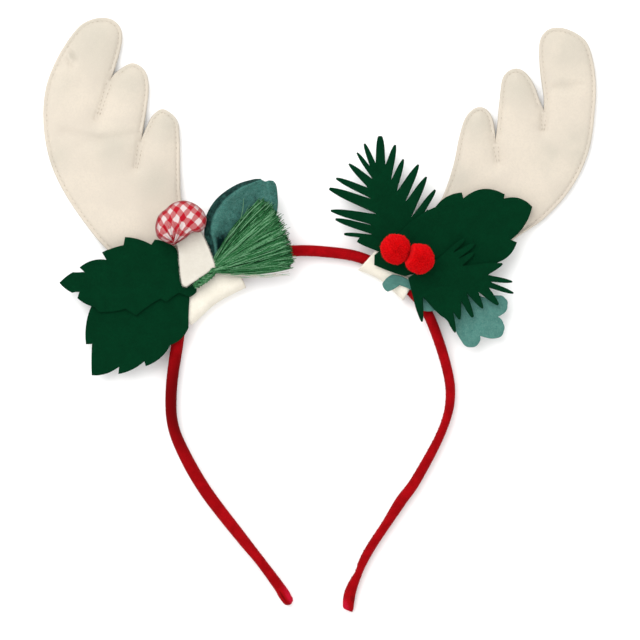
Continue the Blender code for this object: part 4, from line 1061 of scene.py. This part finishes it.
# Right leaves: a lobed oak leaf of pale teal felt lies on the wrap, with a fir sprig beside it; a toothed
# leaf lies on them, and a second sprig on the leaf. The sprigs are dark green felt cut into needles.
RIGHT_LEAF = (
    (23.7, 21.3, 0.3), (37.0, 16.4, -1.0), (55.0, 19.0, 1.0), (76.8, 22.3, 1.5), (85.0, 31.0, 0.0),
    (82.4, 32.1, 1.6), (91.6, 46.3, 2.0), (79.4, 49.8, 0.0), (79.8, 51.6, 3.2), (62.0, 49.9, 0.0),
    (61.3, 52.4, 1.5), (50.0, 46.2, 0.6), (38.0, 38.5, -0.3), (23.8, 25.5, 0.0),
)
OAK_LEAF = (
    (27.2, 13.2, 0.6), (29.5, 9.8, 0.3), (34.6, 12.6, -0.3), (41.0, 9.6, -0.3), (44.6, 1.6, 0.3),
    (49.7, 1.6, -0.5), (58.6, -6.6, 0.2), (61.6, -12.0, 0.7), (65.3, -14.1, 0.6), (68.6, -12.4, 0.4),
    (69.3, -9.3, 0.0), (72.3, -10.1, 0.3), (76.8, -10.1, 0.7), (79.4, -7.2, 0.5), (79.2, -3.8, 0.5),
    (76.9, -1.0, 0.1), (79.6, 0.6, 0.5), (81.0, 4.0, 0.6), (79.9, 7.0, 0.5), (77.2, 8.2, 0.6),
    (73.0, 6.8, -0.6), (56.0, 14.0, 0.4), (38.0, 15.2, 0.4), (31.5, 17.2, 0.5),
)
UPPER_FIR = (
    # needle tip x, y, notch after it x, y, width of the cut tip
    (47.0, 44.9, 45.4, 44.0, 0.9), (50.0, 53.6, 39.8, 42.0, 1.0), (46.2, 59.2, 37.3, 48.6, 0.9),
    (42.8, 64.5, 33.4, 52.8, 1.0), (36.3, 66.8, 31.0, 57.8, 0.9), (32.8, 73.0, 28.6, 64.4, 1.1),
    (26.3, 76.9, 24.3, 65.2, 2.3), (19.5, 73.5, 21.7, 64.0, 1.0), (16.3, 69.6, 22.8, 58.4, 0.8),
    (12.8, 64.8, 20.8, 54.6, 0.9), (7.3, 58.6, 22.3, 49.8, 1.0), (4.3, 54.2, 24.6, 43.2, 1.3),
    (5.0, 44.7, 22.5, 38.5, 1.0), (7.0, 41.0, 22.8, 34.4, 1.1), (10.7, 34.6, 17.4, 33.0, 1.0),
    (16.3, 31.6, 25.0, 27.2, 0.9), (37.4, 27.4, 38.5, 34.5, 0.9),
)
LOWER_FIR = (
    (44.2, -3.2, 44.6, 7.4, 0.9), (53.4, -1.2, 54.8, -2.2, 0.3), (58.4, -7.8, 57.6, 1.0, 0.8),
    (60.3, -2.2, 61.0, 5.6, 0.9), (66.0, -1.3, 63.4, 9.2, 1.2), (70.3, 2.6, 68.4, 9.6, 0.9),
    (77.0, 4.1, 73.0, 11.4, 1.2),
    (83.5, 9.1, 73.6, 14.0, 0.8), (83.0, 14.0, 72.6, 17.0, 0.8), (78.8, 21.7, 61.6, 20.9, 0.9),
    (66.6, 26.6, 60.0, 24.0, 1.0), (67.0, 30.5, 57.5, 26.5, 1.2), (62.6, 32.6, 51.0, 24.0, 1.2),
    (43.0, 19.0, 38.2, 15.8, 0.9),
)


def needle_outline(rows, bow=0.024):
    """A closed outline of a sprig: each needle leaves the last notch, bows outwards, most at two thirds of
    its length, comes to its narrow cut tip and goes back to the next notch."""
    rows = np.array(rows)
    tip, notch, width = rows[:, :2], rows[:, 2:4], rows[:, 4:]
    last = np.roll(notch, 1, axis=0)
    ahead = unit(tip - (notch + last) / 2)
    side = -left_of(ahead) * width / 2
    tip = tip - 0.3 * width * ahead
    t = np.linspace(0, 1, 11, endpoint=False)[:, None, None]
    curve = 6.75 * bow * t * (1 - t)  # times t it comes to the bow at two thirds, and is most there
    there, back = tip + side - last, notch - (tip - side)
    going = last + there * t - curve * t * left_of(there)
    nose = np.linspace(0, math.pi, 6)[1:-1, None, None]
    rounded = tip + side * np.cos(nose) + ahead * width * 0.25 * np.sin(nose)
    coming = tip - side + back * t - curve * (1 - t) * left_of(back)
    return np.concatenate((going, rounded, coming)).swapaxes(0, 1).reshape(-1, 2)


def right_lie(x, y):
    """How the right leaves lie over their level: a droop past the wrap, with slow waves in it."""
    waves = 0.30 * np.sin(x / 8.1 - y / 11) + 0.22 * np.sin(y / 5.9 + x / 15 + 2)
    return waves * smoothstep((x - 52.0) / 16.0) - 1.6 * smoothstep((x - 48.0) / 44.0)


def needles_off(x, y, amount, uneven, waves, clear, reach):
    """How far needles stand off, each by its own amount in waves round the middle of the sprig."""
    own = amount + uneven * np.sin(waves[0] * np.arctan2(y, x) + waves[1])
    return own * smoothstep((np.hypot(x, y) - clear) / reach)


def upper_fir_lie(x, y):
    """The upper sprig's needles hang a little."""
    return -needles_off(x - 30, y - 42, 0.7, 0.5, (5, 0.5), 10, 22)


def lower_fir_lie(x, y):
    """The lower sprig follows the leaf below, and its needles stand off it."""
    return right_lie(x, y) + needles_off(x - 48, y - 17, 1.4, 0.7, (6, 1.4), 9, 20)


oak_felt = felt_finish("oak_felt", dyed(91, 150, 139), dyed(68, 124, 115), dyed(134, 180, 170), fibres=0.55,
                       fibre_size=0.9, blotch_size=3.5, depth=0.2)
for leaf in (
    # stands for, outline, level, lie, felt, its slot, what carries it
    ("oak_leaf", swelled_outline(OAK_LEAF), LEVEL_1, right_lie, oak_felt, "oak_felt", ["right_wrap_felt"]),
    ("fir_sprig_upper", needle_outline(UPPER_FIR), LEVEL_1, upper_fir_lie, green_felt, "green_felt",
     ["right_wrap_felt"]),
    ("right_leaf", swelled_outline(RIGHT_LEAF), LEVEL_2, right_lie, green_felt, "green_felt",
     ["oak_leaf_felt", "fir_sprig_upper_felt"]),
    ("fir_sprig_lower", needle_outline(LOWER_FIR), LEVEL_3, lower_fir_lie, green_felt, "green_felt",
     ["right_leaf_felt"]),
):
    cut_felt(*leaf)


# Pompoms: two balls of red wool, trimmed round, pressed against each other where they are glued.
POMPOM = 6.7
BLADES = 3600
BLADE_FOOT = 5.2  # how far from the middle the tufts start
BLADE_RADII = np.array((0.24, 0.26, 0.2, 0.05))
BALL = 5.9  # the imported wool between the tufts
BALL_ROWS = 30
BALL_COLUMNS = 48
LEAN = math.radians(22)
POMPOM_PLACES = (
    # stands for, x, y, height it sits at, side of the face where they press together
    ("pompom_left", 32.9, 28.0, LEVEL_3 - 0.45, -1),
    ("pompom_right", 42.9, 23.9, LEVEL_4 - 0.35, 1),
)
centres = [np.array((x, y, base + POMPOM)) for _, x, y, base, _ in POMPOM_PLACES]
press = unit((centres[1] - centres[0]) * (1, 1, 0)) * math.cos(LEAN) - np.array((0, 0, math.sin(LEAN)))
press_middle = (centres[0] + centres[1]) / 2


def pressed(points, side, gap):
    """The points, moved back along the pressing direction where they pass the face between the balls."""
    past = np.clip(gap - side * (points - press_middle) @ press, 0, None)
    return points + side * past[..., None] * press


wool, tree = finish_of("red_wool", 0.85, sheen=0.1, sheen_roughness=0.45, sheen_tint=(1.0, 0.2, 0.2, 1.0))
tufts = noise_of(tree, 520.0, 3.0)
# the tone is painted shade: deeper red low among the tufts
own = sum_of(tree, "ADD", tone_of(tree), scaled(tree, tufts, 0.6, -0.3))
paint(tree, mixed(tree, graded(tree, own, 0.1, 0.9), dyed(230, 1, 6), dyed(264, 16, 24)), tufts, depth=0.15)

chance = np.random.default_rng(5)
for (name, *_, side), centre in zip(POMPOM_PLACES, centres):
    count = np.arange(BLADES) + 0.5
    up = 1 - 2 * count / BLADES  # the tufts stand on a spiral from the top to the bottom, evenly spread
    turn = math.pi * (1 + math.sqrt(5)) * count
    out = np.column_stack((np.sqrt(1 - up**2) * np.cos(turn), np.sqrt(1 - up**2) * np.sin(turn), up))
    out = unit(out + chance.normal(0, 0.02, out.shape))
    aside = unit(np.cross(out, chance.normal(0, 1, out.shape)))
    lumps = 0.22 * np.sin(out[:, 0] * 5.1 + 1.0) * np.sin(out[:, 1] * 4.3 + 2.0 * out[:, 2])
    tip = POMPOM - 0.15 + lumps + chance.normal(0, 0.16, BLADES)
    step = np.linspace(0, 1, len(BLADE_RADII))
    reach = BLADE_FOOT + (tip - BLADE_FOOT)[:, None] * step
    bent = chance.uniform(0, 0.7, BLADES)[:, None] * step**2
    paths = pressed(out[:, None] * reach[..., None] + aside[:, None] * bent[..., None] + centre, side, 0.2)
    upright = np.broadcast_to(aside[:, None] + 0.3 * out[:, None], paths.shape)
    blade_points, blocks = tubes(paths, BLADE_RADII, 3, upright)
    # Painted shade: each tuft darker towards its root
    own = np.clip(0.3 + 0.6 * step + 0.12 * chance.normal(0, 1, (BLADES, 1)), 0, 1)

    around = np.linspace(0, 2 * math.pi, BALL_COLUMNS, endpoint=False)
    down = np.linspace(0.02, math.pi - 0.02, BALL_ROWS)[:, None]
    ring = np.sin(down)
    ball = np.dstack((ring * np.cos(around), ring * np.sin(around), np.cos(down) + 0 * around))
    ball = pressed(BALL * ball + centre, side, 0.5).reshape(-1, 3)
    blocks = [*closed_tube(BALL_ROWS, BALL_COLUMNS), *(np.asarray(block) + len(ball) for block in blocks)]
    # the wool ball between the tufts is painted dark, as shade
    dressed(f"{name}_wool", np.vstack((ball, blade_points)), blocks, wool, "red_pile", name, fill=0.9,
            tone=np.concatenate((np.full(len(ball), 0.2), np.repeat(own.ravel(), 3))))


# The sizes of the solids and of the dressed headband
size = {"cad": [list(corner) for corner in cad_box], "visual": [list(corner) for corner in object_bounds()]}
